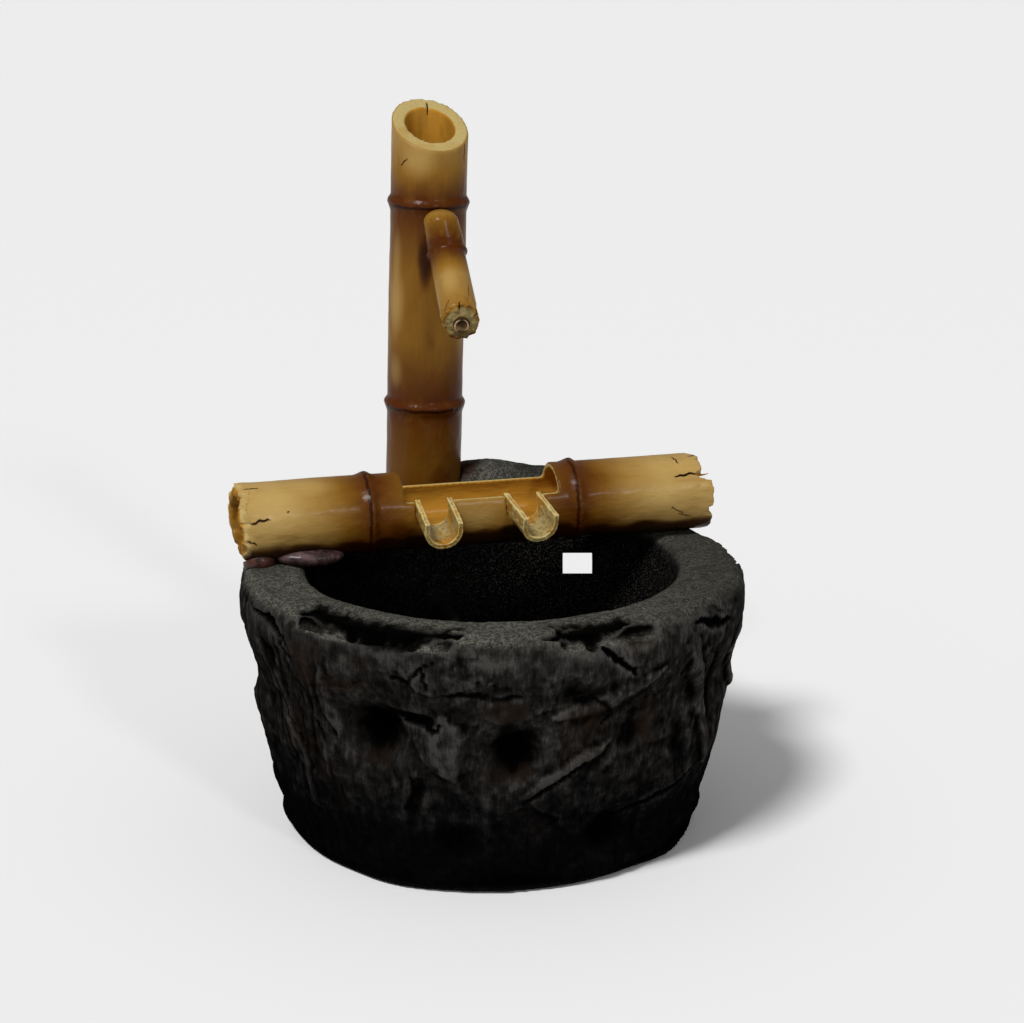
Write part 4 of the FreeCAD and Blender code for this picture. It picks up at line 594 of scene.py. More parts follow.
# Undercuts, cracks and ridges: line, width, and depth or height
UNDERCUTS = (
    (((-50, 227), (-44, 226), (-36, 225), (-28, 221), (-20, 222), (-13, 225), (-4, 227)), 10.5, 8.0),
    (((-33, 218), (-26, 215), (-18, 217), (-11, 221)), 6.0, 4.0),
    (((-66, 215), (-60, 211), (-54, 205), (-50, 197)), 4.5, 7.0),
    (((11, 224), (18, 222.5), (24, 223), (29, 225), (35, 226)), 8.0, 7.0),
    (((18, 219), (24, 219), (29, 221)), 5.0, 4.0),
    (((50, 216), (60, 207), (68, 196)), 5.0, 2.5),
    (((86, 206), (97, 202), (112, 208), (124, 204)), 7.0, 3.5),
    (((-150, 217), (-137, 211), (-122, 214)), 5.0, 4.0),
    (((163, 196), (172, 190), (184, 195)), 5.0, 6.0),
)
HOLLOWS = (
    # angle, height, half width, half height, tilt, depth
    (-28, 139, 25, 28, 8, 11.0), (-18, 153, 28, 6.5, -4, 7.0), (-30, 146, 13, 14, 0, 4.0),
    (5.5, 131, 30, 29, 0, 9.0), (6.3, 128, 20, 20, 0, 5.0), (31, 50, 26, 22, 25, 8.0),
    (33, 217, 17, 11, 15, 5.0), (34, 134, 18, 20, 0, 4.0), (-47, 120, 20, 30, 12, 3.5),
    (-9, 52, 26, 20, 0, 5.0), (-18, 84, 9, 26, -12, 4.5), (20, 176, 22, 14, -20, 3.0),
    (50, 110, 12, 34, 8, 4.0), (-60, 176, 12, 22, 0, 4.0), (64, 150, 14, 45, 4, 5.0),
    (88, 96, 30, 24, 15, 6.0), (118, 150, 22, 30, -20, 7.0), (140, 70, 28, 20, 0, 6.0),
    (176, 120, 28, 28, 15, 7.0), (-160, 60, 24, 18, 0, 6.0), (-132, 140, 26, 30, -15, 7.0),
    (-105, 90, 22, 28, 10, 6.0), (-82, 170, 16, 18, 0, 5.0), (-78, 70, 18, 22, 20, 5.0),
)
CRACKS = (
    (((-50, 205), (-53, 195), (-49, 182)), 1.4, 3.0),
    (((-23, 190), (-18, 186), (-15, 199), (-12, 204)), 1.4, 2.2),
    (((-15, 199), (-14, 188), (-13.8, 178)), 1.3, 2.6),
    (((-22, 147), (-16, 150), (-12, 146), (-11, 153)), 1.8, 4.0),
    (((-11, 177), (-5, 180), (2, 176), (7, 179)), 3.0, 1.5),
    (((24, 216), (26, 207), (29, 198), (34, 184)), 2.6, 5.0),
    (((22.5, 174), (25, 168), (28.7, 153), (26, 145)), 1.3, 1.2),
    (((7.7, 86), (13, 98), (18.4, 107), (24, 116)), 1.8, 3.0),
    (((31, 56), (41, 66), (52.2, 75), (57, 84)), 1.8, 3.0),
    (((-20, 108), (-18, 92), (-21, 74)), 1.6, 3.0),
    (((-50, 172), (-46, 160), (-44, 140), (-40, 118)), 1.3, 1.8),
    (((-58, 160), (-54, 135), (-50, 110), (-47, 88)), 1.3, 1.8),
    (((95, 190), (100, 170), (92, 150), (97, 122)), 1.8, 4.0),
    (((-110, 200), (-104, 178), (-112, 150)), 1.8, 4.0),
    (((150, 170), (160, 150), (171, 156)), 1.8, 4.0),
    (((-175, 190), (-168, 160), (-150, 150)), 1.8, 4.0),
)
RIDGES = (
    (((49, 208), (52, 180), (56, 150), (60, 117), (61, 84)), 11.0, 4.0),
    (((7.7, 92), (13, 104), (20, 114), (30, 128)), 8.0, 2.2),
    (((-62, 190), (-57, 150), (-52, 100), (-47, 60)), 11.0, 3.0),
    (((-10, 158), (-11, 136), (-8, 112)), 21.0, 2.5),
    (((-38, 190), (-40, 160), (-36, 130)), 10.0, 2.5),
    (((14, 160), (28, 168), (40, 186)), 13.0, 1.8),
    (((78, 205), (74, 170), (80, 130)), 11.0, 3.5),
)
# Earthy and brushed spots: angle, height, half width, half height
EARTHY = (
    (34, 214, 15, 12), (38, 133, 10, 13), (40, 152, 7, 10), (4, 164, 24, 12), (-27, 116, 16, 10),
    (5, 112, 24, 12), (-44, 185, 16, 26), (62, 120, 10, 34), (112, 150, 18, 24), (-130, 138, 20, 24),
    (170, 110, 24, 18), (-35, 175, 20, 8), (24, 150, 14, 20),
)
BRUSHED = (
    (-10, 136, 17, 24), (-20, 200, 18, 9), (20, 128, 9, 22), (-33, 190, 16, 17), (15, 160, 10, 14),
    (14, 104, 12, 7), (0, 205, 20, 10), (-38, 140, 8, 26),
)
# The cord's hole in metres: its middle and slope, and the size of the box that cuts it
CORD_WAY = ((0.0755, 0.1595, 0.1723), math.radians(-17.3))
CORD_HOLE = (0.0275, 0.110, 0.0185)
# The rock's farthest reach from the axis in metres, the points that its mesh keeps, and degrees in a radian
OUTERMOST = 0.2092
POINTS_KEPT = 97000
CHIP_SEED = 7
DEGREES = 57.3
PLUGS = (
    # middle, axis, radius, depth, all in mm: they close the ways into the hidden room
    ((0, 0, 13), (0, 0, 1), 150, 5), ((-47.7, 125.2, 146), (-0.262, 0.965, 0), 11.5, 5),
    ((-60, 166, 219), (0, 0, 1), 9, 24),
)


def wall_places(points):
    """Place across the wall from the front and height, both in mm, and distance from the axis in m."""
    x, y, z = points.T
    return np.arctan2(x, -y) * WALL_RADIUS, z / MM, np.hypot(x, y)


def line_distance(across, height, line):
    """Distance to a line on the wall, and the share of the line passed."""
    best, share = np.full(len(across), 1e6), np.zeros(len(across))
    spots = [(math.radians(angle) * WALL_RADIUS, rise) for angle, rise in line]
    for step, (first, second) in enumerate(zip(spots, spots[1:])):
        run, climb = second[0] - first[0], second[1] - first[1]
        part = ((across - first[0]) * run + (height - first[1]) * climb) / (run * run + climb * climb)
        part = np.clip(part, 0, 1)
        gap = np.hypot(across - first[0] - part * run, height - first[1] - part * climb)
        share = np.where(gap < best, (step + part) / (len(spots) - 1), share)
        best = np.minimum(best, gap)
    return best, share


def line_weight(across, height, line, width, point=0.5):
    """Weight near a line on the wall, which narrows to its ends: more sharply with a larger point."""
    gap, share = line_distance(across, height, line)
    taper = np.sin(math.pi * np.clip(share, 0.02, 0.98)) ** point
    return fade(0.35, 1.0, gap / (width * taper))


def spot_weight(across, height, spot, firmness=0.35):
    angle, rise, half_width, half_height, tilt = spot[:5] if len(spot) > 4 else (*spot, 0)
    turn = math.radians(tilt)
    side, up = across - math.radians(angle) * WALL_RADIUS, height - rise
    reach = np.hypot((side * math.cos(turn) + up * math.sin(turn)) / half_width,
                     (up * math.cos(turn) - side * math.sin(turn)) / half_height)
    return fade(firmness, 1.15, reach)


def chips(points, scale, seed):
    """Flat chips of split rock, from about -1 to 1: each cell has its own tilt and height."""
    # noise_vector differs from run to run without a seed
    noise.seed_set(CHIP_SEED)
    heights = np.empty(len(points))
    for index, point in enumerate((points * scale + seed).tolist()):
        cell = noise.voronoi(point)[1][0]
        tilt = noise.noise_vector(cell * 3.7)
        heights[index] = (Vector(point) - cell).dot(tilt) * 1.6 + noise.noise(cell * 5.3) * 0.8
    return heights


def neighbour_mean(piece, values):
    edges = np.empty(len(piece.data.edges) * 2, np.int32)
    piece.data.edges.foreach_get("vertices", edges)
    first, second = edges.reshape(-1, 2).T
    count = np.bincount(first, minlength=len(values)) + np.bincount(second, minlength=len(values))
    total = np.bincount(first, values[second], len(values)) + np.bincount(second, values[first], len(values))
    return total / np.maximum(count, 1)


def near_points(piece, points, passes):
    for _ in range(passes):
        points = np.stack([neighbour_mean(piece, points[:, k]) for k in range(3)], 1)
    return points


def carve_rock(piece, relief):
    """Carve the wall, rim and bowl, and keep what the paint needs."""
    points, normals = read_points(piece), read_normals(piece)
    across, height, reach = wall_places(points)
    x, y, z = points.T
    outward = (normals[:, 0] * x + normals[:, 1] * y) / np.maximum(reach, 1e-6)
    side = ease(-0.1, 0.45, outward) * ease(0.157, 0.163, reach) * ease(0.002, 0.008, z)
    side = side * (1 - ease(0.228, 0.236, z) * 0.8)
    top = ease(0.3, 0.75, normals[:, 2]) * ease(0.148, 0.156, reach) * (z > 0.2)
    bowl = fade(0.150, 0.157, reach) * (z > 0.0285) * (z < 0.2262)
    beside, above = np.abs(x - CORD_WAY[0][0]) - 0.0125, np.abs(z - CORD_WAY[0][2]) - 0.020
    from_cord = np.maximum(beside, above) + 10 * (y < 0.1)
    clear = ease(0.0005, 0.008, np.where(y < 0.1, 1.0, from_cord))
    side = side * clear

    warp = np.stack([noise_at(points, 22, 2, (k * 9, 3, 5)) for k in range(3)], 1) * 0.010
    broad = noise_at(points, 13, 2, (4, 1, 2))
    lumps = noise_at(points, 38, 3, (7, 5, 2))
    chipped = chips(points + warp, 24, 11.3)
    small_chips = chips(points + warp * 0.5, 66, 4.1)
    fibre = noise_at(np.stack([across * MM * 1.0, z * 0.13 + across * MM * 0.10, reach * 0.3], 1), 150, 3,
                     (1, 7, 3))
    angle = across / WALL_RADIUS * DEGREES
    left = ease(-28, -40, angle) * ease(-85, -70, angle)
    coarse = noise_at(points, 120, 3, (8, 2, 6))
    depth = -2.2 + 3.0 * broad + 1.6 * lumps + 1.0 * chipped + 0.45 * small_chips + 0.55 * coarse
    depth += fibre * (0.35 + 0.7 * left)
    band = spot_weight(across, height, (-4.5, 200, 22, 19, 0), 0.8)
    depth += band * (0.8 * chips(points, 230, 2.2) + 1.0)

    wobble = 2.6 * noise_at(points, 60, 2, (2, 2, 9))
    shaken_across, shaken_height = across + wobble, height + 2.6 * noise_at(points, 60, 2)
    # dark gathers the hollows, cracks and undercuts, for the painted shade in them
    dark = np.zeros(len(points))
    notch, under = np.zeros(len(points)), np.zeros(len(points))
    for line, width, cut in UNDERCUTS:
        weight = line_weight(shaken_across + 4 * lumps, shaken_height + 3.5 * lumps, line, width, 0.9)
        under = np.maximum(under, cut * weight)
        notch = np.maximum(notch, ease(0.0, 0.5, weight) * min(1.0, cut / 5))
    brink = ease(0.172, 0.190, reach + 0.005 * lumps + 0.002 * coarse) * (z > 0.18)
    for spot in HOLLOWS:
        weight = spot_weight(shaken_across, shaken_height, spot, 0.0)
        depth -= spot[5] * weight
        dark = np.maximum(dark, ease(0.05, 0.75, weight) * min(1.0, spot[5] / 9))
    for line, width, cut in CRACKS:
        weight = line_weight(across + 1.6 * coarse, height + 1.6 * coarse, line, width + 0.7)
        depth -= cut * 0.8 * weight
        dark = np.maximum(dark, weight * min(0.8, cut * 0.13))
    for line, width, lift in RIDGES:
        weight = line_weight(shaken_across + 4 * lumps, shaken_height + 4 * broad, line, width)
        depth += lift * weight
    foot = fade(0.002, 0.022, z)
    depth -= foot * (1.5 + 2.0 * noise_at(points, 30, 2, (3, 8, 1)))

    out = np.stack([x / reach, y / reach, np.zeros(len(z))], 1)
    points = points + out * ((side * depth - np.maximum(side, brink) * under) * MM * relief)[:, None]
    uneven = 1.2 * broad + 0.8 * lumps + 0.45 * coarse - 0.6
    seat = np.exp(-((points[:, 1] - 0.045 - (points[:, 0] + 0.007) * math.tan(TROUGH_TURN)) / 0.030) ** 2)
    points[:, 2] += top * uneven * MM * (1 - 0.8 * seat) - notch * brink * top * 5 * MM
    mound = fade(0.2, 1.0, np.abs(x + 0.014) / 0.050) * ease(0.150, 0.172, y) * ease(0.205, 0.228, z)
    points[:, 2] += mound * (5.0 + 1.5 * lumps) * MM
    brow = fade(0.1505, 0.168, reach) * ease(0.200, 0.226, z) * ease(0.140, 0.150, reach)
    points[:, 2] -= brow * (3.2 + 1.5 * broad) * MM * (1 - 0.9 * seat)
    points += normals * (bowl * clear * (0.9 * coarse + 1.4 * broad + 0.8 * lumps) * MM
                         * ease(0.034, 0.05, z))[:, None]
    reach = np.maximum(np.hypot(points[:, 0], points[:, 1]), 1e-6)
    points[:, :2] *= np.minimum(1.0, OUTERMOST / reach)[:, None]
    write_points(piece, points)
    return side, top, bowl, np.maximum(dark, notch) * np.maximum(side, brink)


def paint_rock(piece, side, top, bowl, dark):
    """Keep where the casting is proud, earthy or level, and where its hollows, cracks and undercuts take
    painted shade.
    """
    points, normals = read_points(piece), read_normals(piece)
    across, height, reach = wall_places(points)
    proud = np.zeros(len(points))
    near = points
    for passes, gain in ((2, 0.7), (6, 0.35), (10, 0.22)):
        near = near_points(piece, near, passes)
        proud += gain * ((points - near) * normals).sum(1) / MM
    earth, brush = (np.max([spot_weight(across, height, spot) for spot in spots], 0)
                    for spots in (EARTHY, BRUSHED))
    post_foot = np.hypot(points[:, 0] + 0.026, points[:, 1] - 0.172) / 0.017
    for name, values in (("proud", 0.5 + proud * 0.55), ("painted_recess_shade", dark), ("earthy", earth * side),
                         ("brushed", brush * side), ("level", top), ("bowl", bowl)):
        keep(piece, name, values)
    keep(piece, "rusty", fade(0.4, 1.2, post_foot) * (points[:, 2] > 0.222))


class FOUNTAIN_OT_basin(bpy.types.Operator):
    """Carve the rock basin"""
    bl_idname = "fountain.basin"
    bl_label = "Rock basin"

    def execute(self, context):
        look = context.scene.fountain_rock
        parts = [copy_of("bowl_liner", "bowl_skin"), copy_of("cord_duct", "duct_skin")]
        for middle, axis, radius, depth in PLUGS:
            deselect()
            bpy.ops.mesh.primitive_cylinder_add(
                vertices=64, radius=radius * MM, depth=depth * MM, location=Vector(middle) * MM,
                rotation=Vector(axis).to_track_quat("Z", "Y").to_euler())
            parts.append(context.object)
        piece = copy_of("basin_shell", "rock_basin")
        for part in parts:
            part.select_set(True)
        bpy.ops.object.join()
        remesh(piece, look.voxel, 2)
        kept = carve_rock(piece, look.relief)
        modify(piece, "SMOOTH", factor=0.35, iterations=1)
        paint_rock(piece, *kept)
        modify(piece, "DECIMATE", ratio=min(1.0, POINTS_KEPT / len(piece.data.vertices)))
        deselect()
        middle, slope = CORD_WAY
        bpy.ops.mesh.primitive_cube_add(size=1, location=middle, rotation=(slope, 0, 0), scale=CORD_HOLE)
        carve_out(piece, [context.object])
        settle(piece, "rock_resin", rock_material(), "basin_shell", "bowl_liner", "cord_duct")
        return {"FINISHED"}


def rock_material():
    look = bpy.context.scene.fountain_rock
    shade = Shader("rock_wash")
    spot = shade.object_place()
    rise = shade.split(spot)[2]
    broad = shade.noise(spot, 14, 4, 0.6)
    patches = shade.noise(spot, 42, 6, 0.68, 0.8)
    strokes = shade.noise(shade.stretch(spot, (1, 1, 0.22)), 190, 4, 0.65, 0.3)
    hairs = shade.noise(shade.stretch(spot, (1, 1, 0.2)), 520, 3, 0.65)
    grain = shade.noise(spot, 260, 4, 0.7)
    grit = shade.noise(spot, 700, 3, 0.7)
    proud = shade.attribute("proud")
    dusty = 0.5
    for part, weight in ((patches, 0.45), (strokes, 0.50), (hairs, 0.45), (grain, 0.30), (proud, 0.60)):
        dusty = shade.plus(shade.sway(part, weight), dusty)
    dusty = shade.plus(dusty, shade.times(shade.attribute("brushed"), 0.15))
    colour = shade.ramp(dusty,
                        ((0.33, look.charcoal), (0.47, tint(look.slate, 0.20)),
                         (0.58, tint(look.slate, 0.36)), (0.71, tint(look.slate, 0.72)),
                         (0.87, tint(look.slate, 1.5))))
    shadow = shade.band(shade.split(spot)[0], -0.10, 0.12, 0.45, 0.0)
    colour = shade.mix(shadow, colour, look.charcoal)
    earthy = shade.plus(shade.attribute("earthy"), shade.band(broad, 0.50, 0.70, 0.0, 0.6))
    earthy = shade.times(earthy, shade.band(patches, 0.36, 0.62, 0.20, 0.70))
    colour = shade.mix(earthy, colour, look.earth)
    # Painted shade: darker toward the foot, where the wall turns down away from the light
    low = shade.plus(rise, shade.sway(patches, 0.07))
    colour = shade.glaze(colour, low, 0.135, 0.040, 0.92, (0.0010, 0.0010, 0.0013))
    level = shade.plus(shade.times(grain, 0.4), shade.times(grit, 0.6))
    level = shade.mix(shade.band(level, 0.42, 0.60), tint(look.moss, 0.35), tint(look.moss, 1.6))
    level = shade.glaze(level, patches, 0.46, 0.66, 0.6, tint(look.slate, 0.8))
    # Painted shade on the right of the rim, away from the light
    level = shade.glaze(level, shade.split(spot)[0], 0.07, 0.19, 0.5, tint(look.slate, 0.5))
    colour = shade.wash(colour, shade.attribute("level"), 0.9, level)
    # Painted shade in the small recesses between proud places
    colour = shade.glaze(colour, proud, 0.40, 0.05, 0.7, tint(look.charcoal, 0.2))
    # Painted shade in the hollows, cracks and undercuts
    colour = shade.wash(colour, shade.attribute("painted_recess_shade"), 0.985, tint(look.charcoal, 0.15))
    colour = shade.wash(colour, shade.attribute("rusty"), 0.85, (0.022, 0.006, 0.003))
    # The bowl is near black with grey specks: lighter to the right as painted light, darker to the left as
    # painted shade under the trough
    painted_bowl_light = shade.band(shade.split(spot)[0], -0.04, 0.10, 0.3, 1.0)
    speckle = shade.wash(tint(look.charcoal, 0.3), shade.band(grit, 0.50, 0.68), painted_bowl_light,
                         tint(look.slate, 1.2))
    colour = shade.wash(colour, shade.attribute("bowl"), 0.97, speckle)
    normal = shade.bump(grit, 0.7 * MM, 0.7)
    normal = shade.bump(grain, 1.8 * MM, 0.8, normal)
    normal = shade.bump(strokes, 1.4 * MM, 0.4, normal)
    normal = shade.bump(patches, 3.0 * MM, 0.4, normal)
    return shade.finish(colour, shade.band(grain, 0.35, 0.65, 0.65, 0.9), normal, Specular_IOR_Level=0.0)


# Bamboo pieces. Slits: along, degrees, reach, half length, half width, half depth, tilt


POST_SLITS = (
    (296.5, 141, 33.5, 5.2, 0.45, 1.4, 47), (304, -113.5, 33.5, 8.5, 0.45, 2.0, 2),
    (327, -116, 27.5, 8.0, 0.35, 7.0, 0), (343, 9, 23.3, 12.0, 0.5, 4.6, 0),
    (288, 60, 33.5, 9.0, 0.45, 1.6, 4),
)
# Darker spots on the post: along, degrees, half length, half width, weight. The all-round bands at the nodes
# are stain; the rest is painted shade, darkest down the front and under the branch.
POST_STAINS_AND_SHADE = (
    (215, 179, 46, 12, 0.85), (240, -150, 22, 14, 0.5), (150, -172, 46, 17, 0.35), (60, 178, 26, 20, 0.3),
    (20, -150, 26, 26, 0.45), (130, -60, 40, 20, 0.3), (190, 20, 60, 22, 0.25), (262, 180, 9, 200, 0.35),
    (84, 180, 9, 200, 0.35),
)
# Paler spots on the post: along, degrees, half length, half width, weight. They are a painted highlight on
# the left and at the top, where the light falls.
POST_PAINTED_HIGHLIGHTS = (
    (300, 165, 22, 22, 0.5), (175, 128, 40, 14, 0.6), (115, 130, 20, 12, 0.35), (160, -115, 40, 12, 0.3),
    (215, 128, 30, 9, 0.3), (300, 20, 26, 30, 0.5),
)
TROUGH_SLITS = (
    (-198, 20, 33, 6.5, 0.45, 2.0, -6), (-193.5, 76, 33, 8.5, 0.85, 3.0, -9),
    (-201, 107, 33, 5.0, 0.6, 2.6, 30), (-170, 64, 33, 1.2, 0.4, 1.2, 0), (170, 49, 33, 10.0, 0.9, 4.0, 0),
    (165, 18, 33, 5.0, 0.55, 2.6, 72), (183, 8, 33, 5.5, 0.5, 2.0, -4), (161, 103, 33, 8.0, 0.3, 1.2, 28),
    (169, 113, 33, 7.0, 0.35, 1.4, 22), (-196, -60, 33, 9.0, 0.6, 3.0, 6),
    (176, -70, 33, 10.0, 0.6, 3.0, -5), (-120, -120, 33, 10, 0.3, 1.2, 0),
)
# Darker spots on the trough: along, degrees, half length, half width, weight. Those by the nodes are stain;
# those on the lower front are painted shade.
TROUGH_STAINS_AND_SHADE = (
    (-95, 70, 34, 26, 0.3), (-76, 110, 24, 22, 0.65), (-35, 128, 22, 14, 0.5), (62, 80, 26, 26, 0.35),
    (100, 118, 40, 22, 0.4), (-140, 112, 30, 12, 0.3), (30, 122, 24, 16, 0.5), (168, 108, 30, 9, 0.3),
)
# Paler spots on the trough: along, degrees, half length, half width, weight. They are a painted highlight on
# its upper front and ends.
TROUGH_PAINTED_HIGHLIGHTS = (
    (-180, 60, 30, 26, 0.6), (-150, 20, 26, 16, 0.4), (150, 80, 30, 20, 0.6), (160, 30, 34, 18, 0.4),
    (-12, 92, 22, 14, 0.35), (-170, -50, 30, 30, 0.4), (150, -50, 30, 30, 0.4),
)
BRANCH_SLITS = (
    (77, 48, 15.5, 5.5, 0.35, 2.0, 42), (82, 8, 14.0, 4.5, 0.5, 2.4, 20),
    (85, -60, 14.5, 5.0, 0.45, 2.4, -30), (62, -35, 15.5, 7.0, 0.22, 1.0, 8),
)
# The post's slanted mouth: its climb to the back and to the right, and how far the bore is drawn in, in mm
CUT_BACK, CUT_RIGHT = 0.537, -0.22
BORE_TAKEN = 3.7


def swell(local, look, seed):
    """Soft unevenness of a cast culm, in mm."""
    stretched = local * np.array((1, 1, 0.5)) + seed
    return (noise_at(stretched, 26, 2) + 0.35 * noise_at(stretched, 130, 2)) * look.unevenness / MM


def spread(local, change):
    """Move points out from a culm's axis by some mm."""
    reach = np.maximum(np.hypot(local[:, 0], local[:, 1]), 1e-6)
    local[:, :2] *= (1 + change * MM / reach)[:, None]


def roughen_rings(local, along, outside, rings):
    """Make a culm's node rings uneven."""
    ridge = np.maximum(*(fade(1, 5, np.abs(along - ring)) for ring in rings))
    spread(local, outside * ridge * 0.35 * noise_at(local, 260, 2))


def split_culm(piece, local, place, slits):
    """Put a culm's moved points back, cut its slits and give its places anew."""
    write_points(piece, to_world(local, place))
    cut_slits(piece, place, slits)
    return culm_places(piece, place)


class FOUNTAIN_OT_post(bpy.types.Operator):
    """Cast the upright bamboo post"""
    bl_idname = "fountain.post"
    bl_label = "Bamboo post"

    def execute(self, context):
        look = context.scene.fountain_bamboo
        piece = copy_of("post_culm", "bamboo_post")
        remesh(piece, look.voxel)
        local, along, reach, around = culm_places(piece, POST_FRAME)
        outside = ease(30, 32, reach)
        spread(local, outside * (swell(local, look, 0.3) - 0.45))
        roughen_rings(local, along, outside, POST_RINGS)
        mouth = ease(280, 290, along) * fade(24.5, 33.4, reach)
        before = local.copy()
        spread(local, -mouth * BORE_TAKEN)
        moved = local - before
        lip = ease(0.296, 0.300, local[:, 2])
        local[:, 2] += lip * (CUT_BACK * moved[:, 1] + CUT_RIGHT * moved[:, 0])
        local, along, reach, around = split_culm(piece, local, POST_FRAME, POST_SLITS)
        # Stain and painted shade, and the painted highlight, on the outside only
        keep(piece, "stain_and_shade", culm_weight(along, around, POST_RADIUS, POST_STAINS_AND_SHADE) * ease(27, 31, reach))
        keep(piece, "painted_highlight", culm_weight(along, around, POST_RADIUS, POST_PAINTED_HIGHLIGHTS) * ease(27, 31, reach))
        tones = [(-1, 0.20), (30, 0.38), (62, 0.22), (76, 0.02), (90, 0.03), (114, 0.28), (142, 0.80),
                 (200, 0.78), (230, 0.36), (250, 0.08), (266, 0.03), (274, 0.30), (290, 0.98), (315, 1.35),
                 (360, 1.6)]
        material = bamboo_material("bamboo_post_paint", POST_FRAME, (-2, 362), tones, POST_RADIUS,
                                   POST_RINGS, 25.0 - BORE_TAKEN)
        settle(piece, "bamboo_resin", material, "post_culm")
        return {"FINISHED"}


class FOUNTAIN_OT_branch(bpy.types.Operator):
    """Cast the branch that spouts"""
    bl_idname = "fountain.branch"
    bl_label = "Branch spout"

    def execute(self, context):
        look = context.scene.fountain_bamboo
        piece = copy_of("branch_spout", "bamboo_branch")
        remesh(piece, 0.75 * MM)
        points = read_points(piece)
        points[:, 2] -= np.maximum(points[:, 2] - 0.475, 0) * 0.30
        write_points(piece, points)
        local, along, reach, around = culm_places(piece, BRANCH_FRAME)
        outside = ease(9, 12, reach)
        rough = ease(58, 84, along)
        spread(local, outside * (0.5 * swell(local, look, 5.7) - 0.3))
        spread(local, outside * rough * (1.5 * noise_at(local, 150, 3, (1, 4, 2)) - 0.7))
        face = ease(84, 88, along + 0.12 * reach)
        local[:, 2] -= face * (1.4 + 2.2 * noise_at(local, 190, 3, (3, 3, 1))) * MM * ease(6.6, 8.5, reach)
        local[:, 2] -= face * ease(10.5, 15.5, reach) * 2.2 * MM
        local, along, reach, around = split_culm(piece, local, BRANCH_FRAME, BRANCH_SLITS)
        points = read_points(piece)
        # Painted shade: in the crease where the branch's root meets the post, along its underside and in the
        # bore round the hose's mouth
        root = ease(0.488, 0.497, points[:, 2]) * 0.35 + ease(0.132, 0.138, points[:, 1]) * 0.6
        bore_shade_near_hose = fade(6.6, 8.2, reach) * ease(60, 75, along)
        under = ease(95, 150, np.abs(around)) * 0.6
        keep(piece, "stain_and_shade", np.maximum(np.maximum(root, under), bore_shade_near_hose))
        keep(piece, "painted_highlight", culm_weight(along, around, BRANCH_RADIUS,
                                         ((50, 20, 22, 10, 0.4), (-18, 10, 8, 8, 0.2))))
        tones = [(-60, 0.95), (-14, 0.95), (-6, 0.40), (0, 0.06), (6, 0.02), (12, 0.12), (19, 0.45),
                 (29, 1.0), (42, 1.3), (64, 1.2), (84, 1.0), (92, 0.8)]
        material = bamboo_material("bamboo_branch_paint", BRANCH_FRAME, (-60, 95), tones, BRANCH_RADIUS,
                                   (), None, 5.7, 0.50)
        settle(piece, "bamboo_resin", material, "branch_spout")
        return {"FINISHED"}


